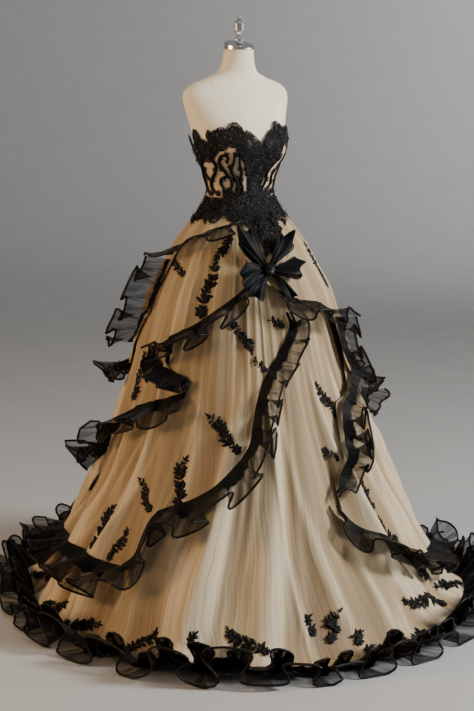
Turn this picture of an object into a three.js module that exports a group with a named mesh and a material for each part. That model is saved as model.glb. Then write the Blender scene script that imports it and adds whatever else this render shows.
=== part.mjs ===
// A strapless evening gown with draped, ruffled overskirts, on a limbless dress form with a round foot.
// Millimetres, +Z up, the gown's front towards -Y, the origin at the centre of the foot's underside.
import * as THREE from 'three';

// ---------------------------------------------------------------- driving sizes
const WALL = 2;                  // thickness of every cloth wall
const SEAM = 0.4;                // gap between neighbouring pieces
const WAIST_HEIGHT = 1300;       // where the skirt hangs from the bodice
const OVERSKIRT_TOP = 1262;      // where the overskirts are gathered onto the skirt
const BASE_SETTLE = 38;          // drop over which the base skirt sinks under the overskirts
const LAYER_SPREAD = 260;        // drop over which the layers fan out from one another
const SKIRT_STEP = 7.5;          // degrees between two columns of a skirt layer
const BODY_STEP = 12;            // degrees between two columns of the bodice and the form
const LACE_STEP = 6;             // degrees between two columns of scalloped lace
const SKIRT_HEM = 21;            // height of the skirt's lower edge
const SKIRT_FOLDS = 16;          // gathers round the skirt
const FOLD_DRIFT = [             // how the gathers' depth drifts round the skirt
  { share: 0.22, count: 7, phase: 1 },
  { share: 0.12, count: 11, phase: 2.5 },
];
const RUFFLE_WAVE = 105;         // length along the seam of one ruffle wave
const WAVE_STEPS = 3;            // stations in one ruffle wave
const RUFFLE_ROWS = [0, 1];      // shares of a ruffle's width at which it has a line of points
const HEM_ROWS = [0, 0.5, 1];    // the same for the hem ruffle
const RUFFLE_FLOOR = 14;         // the lowest that an overskirt's ruffle hangs
const CREST_SHARE = 0.36;        // height of a wave as a share of the ruffle's width
const CREST_DRIFT = { share: 0.1, rate: 2.4 };
const SEAM_SAMPLES = 160;        // points at which a seam's length is measured
const TURN_SCALE = 5;            // millimetres that a degree counts for along a seam's curve
const SEAM_TENSION = 0.2;
const HEM_WAVES = 32;            // waves round the hem ruffle
const HEM_RUFFLE_WIDTH = 118;
const HEM_PIECES = 3;
const HEM_RUFFLE_RISE = 52;      // how far its crests stand above its troughs
const HEM_RUFFLE_DROP = 9;       // how far the free edge lies below the seam
const HEM_CREST_PULL = 0.08;     // share of its width that a crest draws in
const HEM_CREST_DRIFT = { share: 0.3, rate: 1.9, phase: 0.6 };
const FOOT_RADIUS = 170;
const FOOT_HEIGHT = 20;
const POLE_RADIUS = 14;
const FOOT_PROFILE = [           // radius and height, from the underside's centre
  [0, 0], [FOOT_RADIUS, 0], [FOOT_RADIUS + 1, 4], [FOOT_RADIUS - 3, 9], [FOOT_RADIUS - 30, 12],
  [60, 16], [POLE_RADIUS + 12, FOOT_HEIGHT], [0, FOOT_HEIGHT],
];
const FORM_BOTTOM = 1085;
const CAP = { radius: 46, height: 17, tilt: 14, shift: 4, edge: 2, sides: 24 };
const FINIAL_SEAT = 10;          // radius of the finial's foot, which clears the cap's sloping top
const FINIAL_PROFILE = [
  [0, 0], [FINIAL_SEAT, 0], [13, 6], [13, 12], [8, 18], [5, 22], [7, 26], [13, 30], [14.5, 36],
  [14.5, 58], [12, 64], [6, 70], [3.5, 76], [3, 80], [0, 82],
];
const FOOT_SIDES = 32;
const POLE_SIDES = 20;
const FINIAL_SIDES = 12;
const NECK_TOP = 1738;
const BODICE_LIFT = 4.2;         // the bodice's outer face above the form
const BODICE_BOTTOM = 1300.8;
const LACE_LIFT = 7.6;           // the lace's outer face above the form
const NECKLINE_LACE_DEPTH = 52;
const SCALLOP_RISE = 22;
const SCALLOP_VALLEY = 0.35;     // share of that rise left between two scallops
const FRONT_LACE_LEAST = 4;      // the front lace is at least this deep
const HIP_LACE_DROP = 2;         // between the waist and the hip lace's top
const SCALLOP = 24;              // degrees across one scallop of the neckline
const KNOT_TURN = -11;
const KNOT_HEIGHT = 1085;
const LOOP_STATIONS = 10;
const LOOP_ROOT = 25;            // clear space round the knot's centre
const LOOP_DEPTH = 30;           // width of the ribbon that a loop is folded from
const LOOP_ROUND = 0.94;         // share of a full round that a loop's ribbon goes
const LOOP_START = 0.19;         // where on that round it starts, in radians
const LOOP_NARROW = 0.35;        // share of its half width at a loop's root
const CLOSE = 1e-6;              // turns nearer than this count as one

// Rings of the skirt's outline: the distance from the axis to the front, the wearer's right (-X),
// the back and the wearer's left (+X).
const SKIRT_RINGS = [
  { height: 1300, front: 81, left: 108, back: 81, right: 108, fold: 0 },
  { height: 1262, front: 105, left: 134, back: 109, right: 134, fold: 0 },
  { height: 1212, front: 144, left: 168, back: 154, right: 168, fold: 1.5 },
  { height: 1150, front: 182, left: 203, back: 195, right: 203, fold: 3.5 },
  { height: 1075, front: 216, left: 233, back: 227, right: 233, fold: 5 },
  { height: 990, front: 251, left: 268, back: 266, right: 268, fold: 7 },
  { height: 890, front: 282, left: 297, back: 296, right: 298, fold: 8 },
  { height: 780, front: 312, left: 325, back: 326, right: 333, fold: 9 },
  { height: 650, front: 349, left: 360, back: 365, right: 375, fold: 11 },
  { height: 520, front: 389, left: 399, back: 415, right: 420, fold: 13 },
  { height: 410, front: 427, left: 434, back: 461, right: 460, fold: 15 },
  { height: 310, front: 468, left: 476, back: 520, right: 508, fold: 17 },
  { height: 208, front: 520, left: 520, back: 603, right: 562, fold: 17 },
  { height: 114, front: 572, left: 562, back: 697, right: 624, fold: 14 },
  { height: 52, front: 614, left: 593, back: 775, right: 676, fold: 8 },
  { height: SKIRT_HEM, front: 666, left: 624, back: 863, right: 738, fold: 3 },
];

// Rings of the form: half its width, its depth before and behind its centre line, and how far
// that centre line lies behind the axis.
const FORM_RINGS = [
  { height: NECK_TOP, side: 45, front: 43, back: 45, shift: 6 },
  { height: 1716, side: 47, front: 44, back: 47, shift: 8 },
  { height: 1692, side: 53, front: 46, back: 50, shift: 11 },
  { height: 1670, side: 68, front: 49, back: 54, shift: 16 },
  { height: 1652, side: 108, front: 54, back: 59, shift: 21 },
  { height: 1636, side: 152, front: 62, back: 66, shift: 24 },
  { height: 1615, side: 177, front: 73, back: 75, shift: 25 },
  { height: 1590, side: 181, front: 84, back: 84, shift: 24 },
  { height: 1550, side: 170, front: 98, back: 94, shift: 20 },
  { height: 1510, side: 158, front: 110, back: 99, shift: 14 },
  { height: 1480, side: 152, front: 119, back: 100, shift: 9 },
  { height: 1450, side: 147, front: 121, back: 98, shift: 6 },
  { height: 1422, side: 138, front: 113, back: 94, shift: 4 },
  { height: 1388, side: 122, front: 97, back: 88, shift: 3 },
  { height: 1357, side: 110, front: 84, back: 82, shift: 2 },
  { height: 1325, side: 103, front: 76, back: 77, shift: 1 },
  { height: BODICE_BOTTOM, side: 104.5, front: 77.5, back: 78, shift: 0 },
  { height: 1262, side: 118, front: 85, back: 90, shift: 0 },
  { height: 1215, side: 140, front: 100, back: 110, shift: 0 },
  { height: 1160, side: 152, front: 108, back: 116, shift: 0 },
  { height: 1105, side: 140, front: 98, back: 106, shift: 0 },
  { height: FORM_BOTTOM, side: 112, front: 78, back: 84, shift: 0 },
];
const BUST = { turn: 30, height: 1447, bulge: 13, turnReach: 24, heightReach: 44 };

// How far each layer's outer face lies outside the skirt's outline: at the waist, where the
// overskirts are gathered on, and further down.
const LAYERS = {
  base: { waist: 0, near: -12, far: -9 },
  lower: { waist: 0, near: -12, far: 3 },
  flounce: { waist: 0, near: -11, far: 5.7 },
  middle: { waist: 0, near: -9.7, far: 8 },
  upper: { waist: 0, near: -6.6, far: 18.5 },
  hipLace: { waist: 2.4, near: -4.2, far: 27.5 },
};

// Edges of the overskirt pieces: the top and the lower edge at each turn from the front.
const LOWER_LEFT_EDGE = [
  { turn: -180, top: 530, bottom: 130 }, { turn: -150, top: 530, bottom: 160 },
  { turn: -126, top: 550, bottom: 198 }, { turn: -108, top: 640, bottom: 217 },
  { turn: -90, top: 740, bottom: 227 }, { turn: -78, top: 790, bottom: 228 },
  { turn: -72, top: 820, bottom: 240 }, { turn: -66, top: 880, bottom: 385 },
  { turn: -60, top: 990, bottom: 410 }, { turn: -48, top: 1030, bottom: 450 },
  { turn: -36, top: 1065, bottom: 520 }, { turn: -30, top: 1085, bottom: 575 },
  { turn: -24, top: 1110, bottom: 690 }, { turn: -18, top: 1125, bottom: 795 },
  { turn: -12, top: 1120, bottom: 840 }, { turn: -6, top: 1110, bottom: 885 },
  { turn: 0, top: 1100, bottom: 940 },
];
const LOWER_RIGHT_EDGE = [
  { turn: 12, top: 455, bottom: 380 }, { turn: 18, top: 545, bottom: 325 },
  { turn: 24, top: 670, bottom: 290 }, { turn: 30, top: 695, bottom: 255 },
  { turn: 36, top: 702, bottom: 225 }, { turn: 42, top: 715, bottom: 195 },
  { turn: 48, top: 800, bottom: 170 }, { turn: 60, top: 790, bottom: 145 },
  { turn: 72, top: 700, bottom: 122 }, { turn: 96, top: 640, bottom: 115 },
  { turn: 120, top: 580, bottom: 116 }, { turn: 150, top: 540, bottom: 121 },
  { turn: 180, top: 530, bottom: 130 },
];
const FLOUNCE_LEFT_EDGE = [
  { turn: -180, top: 800, bottom: 468 }, { turn: -150, top: 805, bottom: 472 },
  { turn: -132, top: 812, bottom: 481 }, { turn: -120, top: 820, bottom: 495 },
  { turn: -108, top: 880, bottom: 575 }, { turn: -96, top: 895, bottom: 648 },
  { turn: -84, top: 900, bottom: 693 }, { turn: -78, top: 850, bottom: 702 },
  { turn: -72, top: 800, bottom: 715 }, { turn: -66, top: 785, bottom: 729 },
  { turn: -60, top: 775, bottom: 745 },
];
const FLOUNCE_RIGHT_EDGE = [
  { turn: 60, top: 790, bottom: 690 }, { turn: 72, top: 790, bottom: 635 },
  { turn: 90, top: 790, bottom: 590 }, { turn: 120, top: 795, bottom: 520 },
  { turn: 150, top: 798, bottom: 475 }, { turn: 180, top: 800, bottom: 468 },
];
const MIDDLE_EDGE = [
  { turn: -114, top: OVERSKIRT_TOP, bottom: 820 }, { turn: -90, top: OVERSKIRT_TOP, bottom: 840 },
  { turn: -78, top: OVERSKIRT_TOP, bottom: 884 }, { turn: -60, top: OVERSKIRT_TOP, bottom: 936 },
  { turn: -42, top: OVERSKIRT_TOP, bottom: 996 }, { turn: -24, top: OVERSKIRT_TOP, bottom: 1061 },
  { turn: -18, top: OVERSKIRT_TOP, bottom: 1092 },
];
const UPPER_LEFT_EDGE = [
  { turn: -180, top: OVERSKIRT_TOP, bottom: 728 }, { turn: -150, top: OVERSKIRT_TOP, bottom: 740 },
  { turn: -120, top: OVERSKIRT_TOP, bottom: 770 }, { turn: -114, top: OVERSKIRT_TOP, bottom: 795 },
  { turn: -108, top: OVERSKIRT_TOP, bottom: 895 }, { turn: -102, top: OVERSKIRT_TOP, bottom: 945 },
  { turn: -96, top: OVERSKIRT_TOP, bottom: 1100 }, { turn: -90, top: OVERSKIRT_TOP, bottom: 1157 },
  { turn: -72, top: OVERSKIRT_TOP, bottom: 1190 }, { turn: -48, top: OVERSKIRT_TOP, bottom: 1220 },
  { turn: -30, top: OVERSKIRT_TOP, bottom: 1232 },
];
const UPPER_RIGHT_EDGE = [
  { turn: -12, top: OVERSKIRT_TOP, bottom: 1050 }, { turn: 0, top: OVERSKIRT_TOP, bottom: 1012 },
  { turn: 18, top: OVERSKIRT_TOP, bottom: 990 }, { turn: 36, top: OVERSKIRT_TOP, bottom: 962 },
  { turn: 42, top: OVERSKIRT_TOP, bottom: 900 }, { turn: 48, top: OVERSKIRT_TOP, bottom: 745 },
  { turn: 90, top: OVERSKIRT_TOP, bottom: 735 }, { turn: 180, top: OVERSKIRT_TOP, bottom: 728 },
];
const NECKLINE = [
  { turn: 0, top: 1456 }, { turn: 12, top: 1472 }, { turn: 24, top: 1496 }, { turn: 36, top: 1508 },
  { turn: 48, top: 1503 }, { turn: 60, top: 1488 }, { turn: 72, top: 1466 }, { turn: 84, top: 1462 },
  { turn: 96, top: 1452 }, { turn: 120, top: 1436 }, { turn: 180, top: 1425 },
];
const FRONT_LACE_EDGE = [
  { turn: -42, bottom: 1432 }, { turn: -30, bottom: 1376 }, { turn: -18, bottom: 1318 },
  { turn: -12, bottom: BODICE_BOTTOM }, { turn: 12, bottom: BODICE_BOTTOM }, { turn: 18, bottom: 1326 },
  { turn: 30, bottom: 1392 }, { turn: 36, bottom: 1424 },
];
const FRONT_LACE_FROM = -36;
const FRONT_LACE_TO = 36;
const HIP_LACE_EDGE = [
  { turn: 0, bottom: 1142 }, { turn: 7.5, bottom: 1158 }, { turn: 15, bottom: 1196 },
  { turn: 22.5, bottom: 1232 }, { turn: 30, bottom: 1245 }, { turn: 37.5, bottom: 1240 },
  { turn: 52.5, bottom: 1252 }, { turn: 67.5, bottom: 1240 }, { turn: 82.5, bottom: 1252 },
  { turn: 97.5, bottom: 1240 }, { turn: 112.5, bottom: 1252 },
  { turn: 127.5, bottom: 1240 }, { turn: 150, bottom: 1250 }, { turn: 180, bottom: 1228 },
];

// Ruffles: the seam's turn and height, the ruffle's width, the way it hangs in the skirt's face
// (0 straight down, 90 towards a larger turn), and how steeply it stands out from that face.
const HIP_RUFFLE_LEFT = [
  { turn: -32, height: 1230, width: 55, hang: 0, stand: 25 },
  { turn: -49, height: 1220, width: 62, hang: 0, stand: 28 },
  { turn: -63, height: 1207, width: 66, hang: 0, stand: 30 },
  { turn: -78, height: 1181, width: 70, hang: -5, stand: 32 },
  { turn: -90, height: 1157, width: 74, hang: -15, stand: 38 },
  { turn: -97, height: 1122, width: 74, hang: -30, stand: 44 },
];
const SIDE_RUFFLE_LEFT = [
  { turn: -98, height: 1108, width: 62, hang: -55, stand: 46 },
  { turn: -98, height: 1058, width: 70, hang: -60, stand: 46 },
  { turn: -95, height: 1010, width: 74, hang: -60, stand: 42 },
  { turn: -98, height: 965, width: 76, hang: -50, stand: 45 },
  { turn: -105, height: 926, width: 78, hang: -45, stand: 45 },
  { turn: -109, height: 880, width: 74, hang: -46, stand: 42 },
  { turn: -112, height: 842, width: 58, hang: -48, stand: 38 },
];
const BACK_RUFFLE_LEFT = [
  { turn: -115, height: 792, width: 58, hang: -2, stand: 32 },
  { turn: -123, height: 766, width: 72, hang: 0, stand: 30 },
  { turn: -150, height: 741, width: 75, hang: 0, stand: 28 },
  { turn: -179.5, height: 729, width: 75, hang: 0, stand: 28 },
];
const FRONT_RUFFLE_UPPER = [
  { turn: -23, height: 1066, width: 70, hang: -10, stand: 22 },
  { turn: -32, height: 1031, width: 76, hang: -5, stand: 22 },
  { turn: -42, height: 995, width: 78, hang: 0, stand: 22 },
  { turn: -52, height: 961, width: 78, hang: 0, stand: 22 },
  { turn: -63, height: 926, width: 76, hang: 0, stand: 22 },
  { turn: -74, height: 896, width: 68, hang: 0, stand: 26 },
  { turn: -82, height: 866, width: 52, hang: 15, stand: 34 },
];
const FRONT_RUFFLE_FOLD = [
  { turn: -84, height: 838, width: 44, hang: -30, stand: 34 },
  { turn: -78, height: 806, width: 44, hang: -20, stand: 30 },
  { turn: -70, height: 788, width: 40, hang: -15, stand: 28 },
  { turn: -62, height: 780, width: 34, hang: -10, stand: 26 },
];
const FRONT_RUFFLE_LOWER = [
  { turn: -60, height: 744, width: 66, hang: 10, stand: 20 },
  { turn: -66, height: 728, width: 80, hang: 0, stand: 20 },
  { turn: -75, height: 708, width: 84, hang: 0, stand: 20 },
  { turn: -84, height: 692, width: 86, hang: 0, stand: 22 },
  { turn: -94, height: 657, width: 88, hang: -5, stand: 30 },
  { turn: -102, height: 614, width: 88, hang: -10, stand: 34 },
  { turn: -110, height: 558, width: 88, hang: -15, stand: 34 },
  { turn: -118, height: 503, width: 86, hang: -5, stand: 30 },
  { turn: -132, height: 481, width: 84, hang: 0, stand: 26 },
  { turn: -155, height: 471, width: 84, hang: 0, stand: 26 },
  { turn: -179.5, height: 468, width: 84, hang: 0, stand: 26 },
];
const BACK_RUFFLE_RIGHT = [
  { turn: 60, height: 690, width: 60, hang: 10, stand: 26 },
  { turn: 72, height: 637, width: 78, hang: 10, stand: 28 },
  { turn: 90, height: 591, width: 84, hang: 0, stand: 26 },
  { turn: 120, height: 521, width: 84, hang: 0, stand: 26 },
  { turn: 150, height: 477, width: 84, hang: 0, stand: 26 },
  { turn: 179.5, height: 468, width: 84, hang: 0, stand: 26 },
];
const CASCADE_LEFT = [
  { turn: -2, height: 968, width: 46, hang: 70, stand: 22 },
  { turn: -1, height: 930, width: 58, hang: 75, stand: 22 },
  { turn: -5, height: 890, width: 60, hang: 70, stand: 22 },
  { turn: -10, height: 853, width: 60, hang: 60, stand: 22 },
  { turn: -16, height: 812, width: 60, hang: 60, stand: 22 },
  { turn: -21, height: 762, width: 64, hang: 60, stand: 22 },
  { turn: -24, height: 712, width: 66, hang: 65, stand: 22 },
  { turn: -26, height: 655, width: 70, hang: 65, stand: 22 },
  { turn: -28, height: 596, width: 72, hang: 55, stand: 20 },
  { turn: -34, height: 540, width: 78, hang: 35, stand: 20 },
  { turn: -42, height: 482, width: 88, hang: 20, stand: 20 },
  { turn: -52, height: 438, width: 92, hang: 12, stand: 20 },
  { turn: -62, height: 408, width: 92, hang: 22, stand: 22 },
  { turn: -67, height: 370, width: 88, hang: 45, stand: 24 },
  { turn: -69, height: 318, width: 88, hang: 60, stand: 24 },
  { turn: -70, height: 268, width: 92, hang: 40, stand: 22 },
  { turn: -75, height: 236, width: 100, hang: 10, stand: 20 },
];
const CASCADE_LEFT_LOW = [
  { turn: -77, height: 229, width: 102, hang: 0, stand: 20 },
  { turn: -86, height: 225, width: 104, hang: 0, stand: 20 },
  { turn: -97, height: 226, width: 104, hang: 0, stand: 20 },
  { turn: -108, height: 217, width: 102, hang: 0, stand: 20 },
  { turn: -126, height: 198, width: 100, hang: 0, stand: 20 },
  { turn: -150, height: 161, width: 95, hang: 0, stand: 20 },
  { turn: -179.5, height: 131, width: 90, hang: 0, stand: 20 },
];
const HIP_RUFFLE_RIGHT = [
  { turn: -10, height: 1046, width: 62, hang: 0, stand: 25 },
  { turn: -3, height: 1020, width: 70, hang: 0, stand: 25 },
  { turn: 8, height: 1000, width: 72, hang: 0, stand: 25 },
  { turn: 20, height: 988, width: 72, hang: 0, stand: 25 },
  { turn: 32, height: 973, width: 72, hang: 10, stand: 28 },
  { turn: 39, height: 942, width: 70, hang: 35, stand: 32 },
];
const SIDE_RUFFLE_RIGHT = [
  { turn: 41, height: 926, width: 60, hang: 60, stand: 30 },
  { turn: 41, height: 885, width: 64, hang: 65, stand: 30 },
  { turn: 42, height: 840, width: 66, hang: 60, stand: 30 },
  { turn: 45, height: 795, width: 70, hang: 50, stand: 30 },
  { turn: 46, height: 752, width: 72, hang: 35, stand: 28 },
  { turn: 40, height: 722, width: 74, hang: 15, stand: 24 },
  { turn: 32, height: 702, width: 74, hang: 15, stand: 22 },
  { turn: 26, height: 676, width: 72, hang: 45, stand: 22 },
  { turn: 22, height: 632, width: 74, hang: 65, stand: 22 },
  { turn: 19, height: 575, width: 76, hang: 70, stand: 22 },
  { turn: 16, height: 515, width: 74, hang: 70, stand: 22 },
  { turn: 12, height: 462, width: 66, hang: 60, stand: 22 },
  { turn: 8, height: 430, width: 50, hang: 50, stand: 22 },
];
const BACK_RUFFLE_UPPER = [
  { turn: 50, height: 738, width: 66, hang: 0, stand: 28 },
  { turn: 66, height: 738, width: 74, hang: 0, stand: 28 },
  { turn: 90, height: 735, width: 75, hang: 0, stand: 28 },
  { turn: 135, height: 731, width: 75, hang: 0, stand: 28 },
  { turn: 179.5, height: 729, width: 75, hang: 0, stand: 28 },
];
const CASCADE_RIGHT = [
  { turn: 9, height: 412, width: 66, hang: -40, stand: 22 },
  { turn: 12, height: 378, width: 78, hang: -35, stand: 22 },
  { turn: 17, height: 333, width: 84, hang: -20, stand: 20 },
  { turn: 23, height: 295, width: 86, hang: -10, stand: 20 },
  { turn: 31, height: 250, width: 86, hang: -5, stand: 20 },
  { turn: 41, height: 200, width: 86, hang: 0, stand: 20 },
  { turn: 50, height: 165, width: 84, hang: 0, stand: 20 },
  { turn: 62, height: 142, width: 82, hang: 0, stand: 20 },
  { turn: 78, height: 121, width: 80, hang: 0, stand: 20 },
];
const CASCADE_RIGHT_LOW = [
  { turn: 80, height: 120, width: 80, hang: 0, stand: 20 },
  { turn: 100, height: 115, width: 78, hang: 0, stand: 20 },
  { turn: 130, height: 117, width: 78, hang: 0, stand: 20 },
  { turn: 155, height: 122, width: 82, hang: 0, stand: 20 },
  { turn: 179.5, height: 130, width: 86, hang: 0, stand: 20 },
];

// Loops of the knot: the way each points in the skirt's face (0 up, 90 to a larger turn),
// its length, its half width and how far its far end leans out.
const KNOT_LOOPS = [
  { name: 'knot_loop_upper_left', angle: -42, length: 96, half: 26, lean: 8, lift: 11.4 },
  { name: 'knot_loop_left', angle: -90.8, length: 70, half: 22, lean: 20, lift: 7 },
  { name: 'knot_loop_lower', angle: -152, length: 84, half: 22, lean: 14, lift: 13 },
  { name: 'knot_loop_upper_right', angle: 34, length: 112, half: 24, lean: 8, lift: 11.7 },
  { name: 'knot_loop_right', angle: 82, length: 84, half: 22, lean: 20, lift: 9.8 },
  { name: 'knot_loop_tail', angle: 128, length: 92, half: 20, lean: 14, lift: 13 },
];

// ---------------------------------------------------------------- materials
const champagne = new THREE.MeshStandardMaterial({ color: 0xcbb18a, roughness: 0.75, metalness: 0 });
const tulle = new THREE.MeshStandardMaterial({ color: 0xd6c4a6, roughness: 0.8, metalness: 0 });
const organza = new THREE.MeshStandardMaterial({ color: 0x1d1a18, roughness: 0.6, metalness: 0 });
const lace = new THREE.MeshStandardMaterial({ color: 0x0e0d0d, roughness: 0.85, metalness: 0 });
const linen = new THREE.MeshStandardMaterial({ color: 0xe9e1d4, roughness: 0.8, metalness: 0 });
const metal = new THREE.MeshStandardMaterial({ color: 0xb9bcc0, roughness: 0.3, metalness: 1 });

const gown = new THREE.Group();

// ---------------------------------------------------------------- helpers
const radians = THREE.MathUtils.degToRad;
const lerp = THREE.MathUtils.lerp;
const UP = new THREE.Vector3(0, 0, 1);

/** Reads a column of a table at a turn, straight between its rows. */
function read(table, column, turn) {
  const last = table.length - 2;
  let row = 0;
  while (row < last && turn > table[row + 1].turn) row += 1;
  const from = table[row];
  const to = table[row + 1];
  const share = THREE.MathUtils.clamp((turn - from.turn) / (to.turn - from.turn), 0, 1);
  return lerp(from[column], to[column], share);
}

/** The unit vector that points away from the axis at a turn from the front. */
function outward(turn) {
  return new THREE.Vector3(Math.sin(radians(turn)), -Math.cos(radians(turn)), 0);
}

/** A faceted surface of rings and columns; every cloth wall on it shares its facets. */
class Surface {
  constructor(rings, step, ringPoint, foldAt) {
    this.rings = rings;
    this.step = step;
    this.ringPoint = ringPoint;
    this.foldAt = foldAt;
  }

  corner(column, ring, lift) {
    const turn = column * this.step;
    const above = this.ringPoint(this.rings[Math.max(ring - 1, 0)], turn);
    const below = this.ringPoint(this.rings[Math.min(ring + 1, this.rings.length - 1)], turn);
    const away = outward(turn);
    const spread = below.clone().sub(above).dot(away);
    const normal = away.multiplyScalar(above.z - below.z).addScaledVector(UP, spread).normalize();
    const offset = lift(this.rings[ring]) + this.foldAt(turn, this.rings[ring]);
    return { point: this.ringPoint(this.rings[ring], turn).addScaledVector(normal, offset), normal };
  }

  /** The point and the outward normal at a turn and height, a lift outside the surface. */
  at(turn, height, lift) {
    const last = this.rings.length - 2;
    let ring = 0;
    while (ring < last && height < this.rings[ring + 1].height) ring += 1;
    const down = THREE.MathUtils.clamp(
      (height - this.rings[ring].height) / (this.rings[ring + 1].height - this.rings[ring].height), 0, 1);
    const column = Math.floor(turn / this.step + CLOSE);
    const across = turn / this.step - column;
    const near = this.corner(column, ring, lift);
    const side = this.corner(column + 1, ring, lift);
    const under = this.corner(column, ring + 1, lift);
    const far = this.corner(column + 1, ring + 1, lift);
    const blend = (what) => (across + down <= 1
      ? near[what].clone().multiplyScalar(1 - across - down)
        .addScaledVector(side[what], across).addScaledVector(under[what], down)
      : far[what].clone().multiplyScalar(across + down - 1)
        .addScaledVector(under[what], 1 - across).addScaledVector(side[what], 1 - down));
    return { point: blend('point'), normal: blend('normal').normalize() };
  }
}

/** The radius of an outline with four half axes at a turn. */
function outlineRadius(front, left, back, right, turn) {
  const sine = Math.sin(radians(turn));
  const cosine = Math.cos(radians(turn));
  return 1 / Math.hypot(sine / (sine > 0 ? right : left), cosine / (cosine > 0 ? front : back));
}

function skirtPoint(ring, turn) {
  const radius = outlineRadius(ring.front, ring.left, ring.back, ring.right, turn);
  return outward(turn).multiplyScalar(radius).setZ(ring.height);
}

function formPoint(ring, turn) {
  const radius = outlineRadius(ring.front, ring.side, ring.back, ring.side, turn);
  const wrapped = THREE.MathUtils.euclideanModulo(turn + 180, 360) - 180;
  const sideways = (Math.abs(wrapped) - BUST.turn) / BUST.turnReach;
  const upward = (ring.height - BUST.height) / BUST.heightReach;
  const bust = BUST.bulge * Math.exp(-(sideways ** 2) - upward ** 2);
  const point = outward(turn).multiplyScalar(radius + bust).setZ(ring.height);
  point.y += ring.shift;
  return point;
}

/** Uneven gathers round the skirt, from 0 to about 1. */
function skirtFold(turn, ring) {
  const gather = 0.5 + 0.5 * Math.cos(radians(SKIRT_FOLDS * turn));
  const drift = FOLD_DRIFT.reduce((sum, { share, count, phase }) => sum
    + share * Math.sin(radians(count * turn) + phase), 0);
  return ring.fold * gather * (1 + drift);
}

const skirt = new Surface(SKIRT_RINGS, SKIRT_STEP, skirtPoint, skirtFold);
const form = new Surface(FORM_RINGS, BODY_STEP, formPoint, () => 0);

/** How far a layer's outer face lies outside the skirt's outline at a ring. */
function layerLift(layer, extra = 0) {
  return (ring) => {
    const spread = THREE.MathUtils.clamp((OVERSKIRT_TOP - ring.height) / LAYER_SPREAD, 0, 1);
    const settle = THREE.MathUtils.clamp((WAIST_HEIGHT - ring.height) / BASE_SETTLE, 0, 1);
    return lerp(lerp(layer.waist, layer.near, settle), layer.far, spread) + extra;
  };
}

const steady = (lift) => () => lift;

/** Closes two grids of points, an outer and an inner face, into one walled body. */
function wall(outer, inner) {
  const rows = outer.length;
  const columns = outer[0].length;
  const points = [...outer.flat(), ...inner.flat()];
  const half = rows * columns;
  const faces = [];
  const face = (a, b, c) => faces.push([a, b, c]);
  for (let row = 0; row < rows - 1; row += 1) {
    for (let column = 0; column < columns - 1; column += 1) {
      const a = row * columns + column;
      const b = a + 1;
      const d = a + columns;
      const c = d + 1;
      face(a, d, b);
      face(b, d, c);
      face(a + half, b + half, d + half);
      face(b + half, c + half, d + half);
    }
  }
  const rim = (a, b) => {
    face(a, b, b + half);
    face(a, b + half, a + half);
  };
  for (let column = 0; column < columns - 1; column += 1) {
    rim(column, column + 1);
    rim((rows - 1) * columns + column + 1, (rows - 1) * columns + column);
  }
  for (let row = 0; row < rows - 1; row += 1) {
    rim((row + 1) * columns, row * columns);
    rim(row * columns + columns - 1, (row + 1) * columns + columns - 1);
  }
  return body(points, faces);
}

/** An indexed geometry with its doubles joined, its collapsed faces left out and its faces outwards. */
function body(points, faces) {
  const places = new Map();
  const kept = [];
  const names = points.map((point) => {
    const key = point.toArray().map((value) => Math.round(value * 1000)).join(' ');
    if (!places.has(key)) {
      places.set(key, kept.length);
      kept.push(point);
    }
    return places.get(key);
  });
  const whole = faces
    .map((corners) => corners.map((corner) => names[corner]))
    .filter(([a, b, c]) => a !== b && b !== c && c !== a);
  const volume = whole.reduce((sum, [a, b, c]) => sum
    + kept[a].dot(new THREE.Vector3().crossVectors(kept[b], kept[c])), 0);
  const geometry = new THREE.BufferGeometry();
  const numbers = kept.flatMap((point) => point.toArray());
  geometry.setAttribute('position', new THREE.Float32BufferAttribute(numbers, 3));
  geometry.setIndex(whole.flatMap(([a, b, c]) => (volume < 0 ? [a, c, b] : [a, b, c])));
  geometry.computeVertexNormals();
  return geometry;
}

function add(name, geometry, material) {
  const mesh = new THREE.Mesh(geometry, material);
  mesh.name = name;
  gown.add(mesh);
  return mesh;
}

/** How far a column moves along its ring so that two pieces stay a seam apart. */
function seamInset(turn, from, to) {
  if (turn < from + CLOSE) return SEAM / 2;
  return turn > to - CLOSE ? -SEAM / 2 : 0;
}

/** A piece cut from a surface between two turns, with its own top and lower edge at each turn. */
function panel(surface, edges, from, to, step, lift) {
  const turns = [];
  for (let turn = from; turn <= to + CLOSE; turn += step) turns.push(turn);
  const top = (turn) => read(edges, 'top', turn);
  const bottom = (turn) => read(edges, 'bottom', turn);
  const highest = Math.max(...turns.map(top));
  const lowest = Math.min(...turns.map(bottom));
  const between = surface.rings.map((ring) => ring.height)
    .filter((height) => height < highest && height > lowest);
  const heights = [highest, ...between, lowest];
  const face = (extra) => heights.map((height) => turns.map((turn) => {
    const held = THREE.MathUtils.clamp(height, bottom(turn), top(turn));
    const { point } = surface.at(turn, held, (ring) => lift(ring) + extra);
    return point.addScaledVector(outward(turn + 90), seamInset(turn, from, to));
  }));
  return wall(face(0), face(-WALL));
}

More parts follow.
